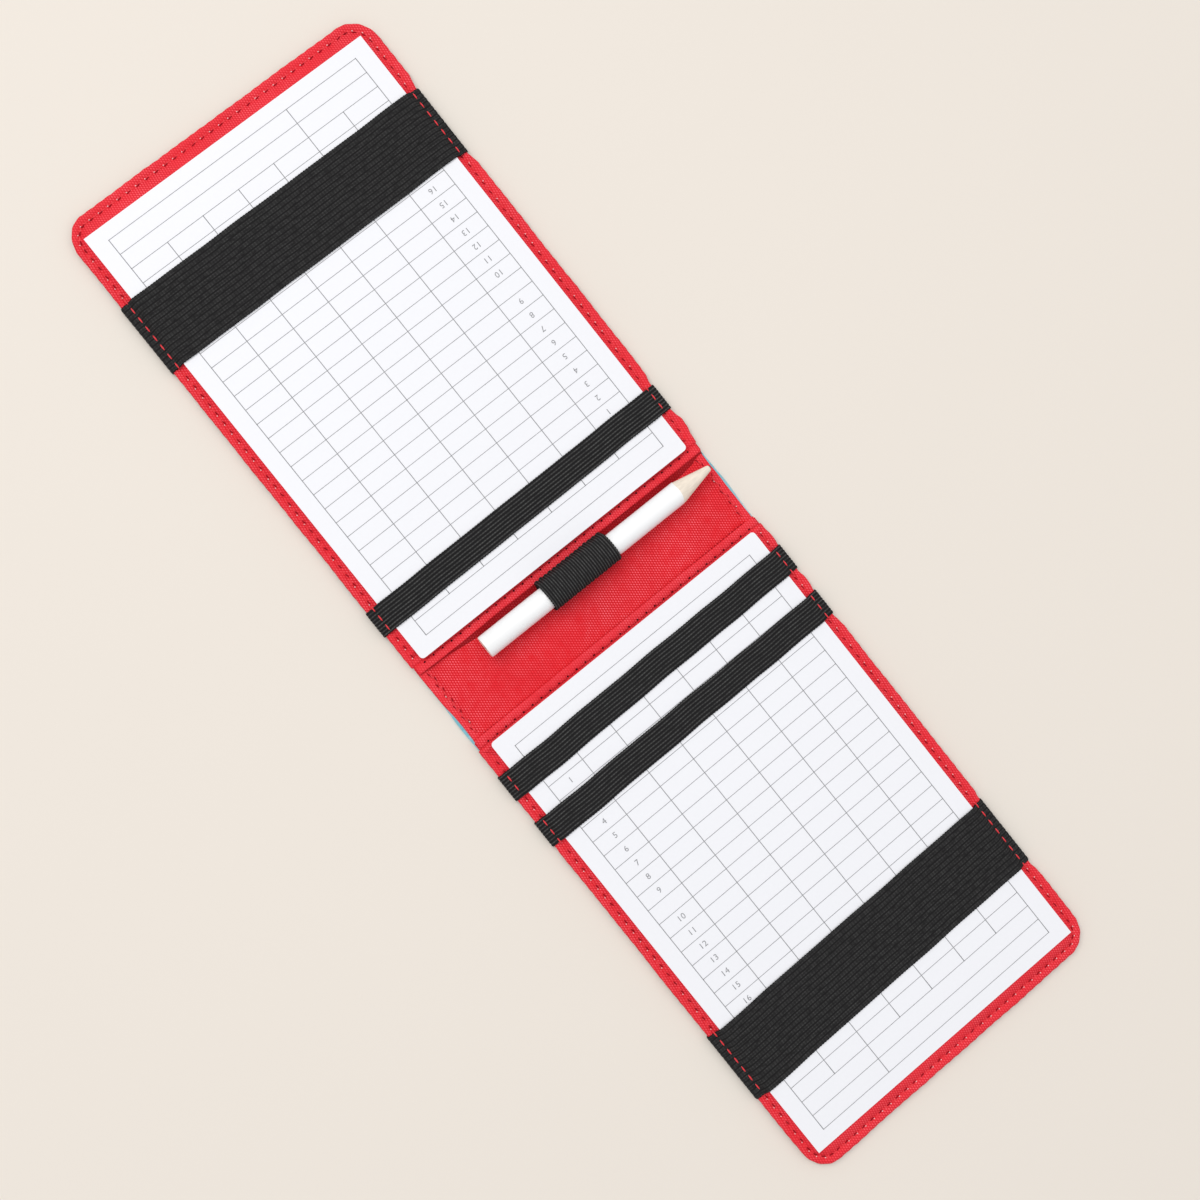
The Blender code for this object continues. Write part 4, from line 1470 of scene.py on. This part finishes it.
class HOLDER_OT_stage(bpy.types.Operator):
    """Set up the floor, the lights and the camera"""

    bl_idname = "holder.stage"
    bl_label = "Stage"

    def execute(self, context):
        stage = context.scene.holder_stage
        self.floor(stage)
        self.camera(context.scene, stage)
        self.light("key", (-0.28, 0.85, 1.65), 1.2, 17.4, (1.0, 0.985, 0.96))
        self.light("fill", (0.6, -0.3, 1.4), 1.6, 4.5, (0.96, 0.98, 1.0))
        world = bpy.data.worlds.new("soft_room")
        world.use_nodes = True
        sky = world.node_tree.nodes["Background"]
        sky.inputs["Color"].default_value = (0.97, 0.98, 1.0, 1.0)
        sky.inputs["Strength"].default_value = 0.67
        context.scene.world = world
        context.scene.view_settings.view_transform = "Standard"
        return {"FINISHED"}

    def floor(self, stage):
        """A wide plain pale floor."""
        material, tree, shader = new_material("pale_floor", 0.75)
        patches = cloud(tree, object_space(tree), 6.0, 2.0)
        colour = mix_colours(tree, patches, stage.floor, [0.98 * c for c in stage.floor])
        tree.links.new(colour, shader.inputs["Base Color"])
        bm = bmesh.new()
        bmesh.ops.create_grid(bm, x_segments=1, y_segments=1, size=3.0)
        bmesh.ops.translate(bm, vec=(0.0, 0.0, -0.15 * MM), verts=bm.verts)
        finish_piece(bm, "floor", material)

    def camera(self, scene, stage):
        """A camera almost straight above the holder."""
        data = bpy.data.cameras.new("camera")
        data.lens = stage.lens
        data.sensor_width = 36.0
        data.clip_start = 0.01
        camera = bpy.data.objects.new("camera", data)
        scene.collection.objects.link(camera)
        place = Vector(stage.camera_place)
        back = (place - Vector(stage.target)).normalized()
        up = Vector((math.cos(stage.heading), math.sin(stage.heading), 0.0))
        up = (up - back * up.dot(back)).normalized()
        right = up.cross(back)
        camera.matrix_world = Matrix.Translation(place) @ Matrix(
            (right, up, back)).transposed().to_4x4()
        scene.camera = camera

    def light(self, name, place, size, power, colour):
        """A square soft light that faces the holder."""
        data = bpy.data.lights.new(name, "AREA")
        data.size = size
        data.energy = power
        data.color = colour
        lamp = bpy.data.objects.new(name, data)
        lamp.location = place
        lamp.rotation_euler = Vector(place).to_track_quat("Z", "Y").to_euler()
        bpy.context.scene.collection.objects.link(lamp)


# ---------------------------------------------------------------- add-on

OPERATORS = (HOLDER_OT_stage, HOLDER_OT_covers, HOLDER_OT_linings, HOLDER_OT_spine,
             HOLDER_OT_hems, HOLDER_OT_bands, HOLDER_OT_loop, HOLDER_OT_cards,
             HOLDER_OT_stitches, HOLDER_OT_pencil, HOLDER_OT_boards)


class HOLDER_PT_panel(bpy.types.Panel):
    """Lists the holder's pieces"""

    bl_idname = "HOLDER_PT_panel"
    bl_label = "Card holder"
    bl_space_type = "VIEW_3D"
    bl_region_type = "UI"
    bl_category = "Card holder"

    def draw(self, context):
        for operator in OPERATORS:
            self.layout.operator(operator.bl_idname)


GROUPS = {"holder_cloth": HolderCloth, "holder_elastic": HolderElastic,
          "holder_stitch": HolderStitch, "holder_card": HolderCard,
          "holder_pencil": HolderPencil, "holder_stage": HolderStage}
CLASSES = (*GROUPS.values(), *OPERATORS, HOLDER_PT_panel)


def register():
    """Register the classes and hang the settings on the scene."""
    for item in CLASSES:
        bpy.utils.register_class(item)
    for name, group in GROUPS.items():
        setattr(bpy.types.Scene, name, bpy.props.PointerProperty(type=group))


def unregister():
    """Take the settings and the classes away again."""
    for name in GROUPS:
        delattr(bpy.types.Scene, name)
    for item in reversed(CLASSES):
        bpy.utils.unregister_class(item)


def main():
    """Register the add-on and build every piece."""
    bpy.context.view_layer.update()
    register()
    for operator in OPERATORS:
        group, name = operator.bl_idname.split(".")
        getattr(getattr(bpy.ops, group), name)()


if __name__ == "__main__":
    main()
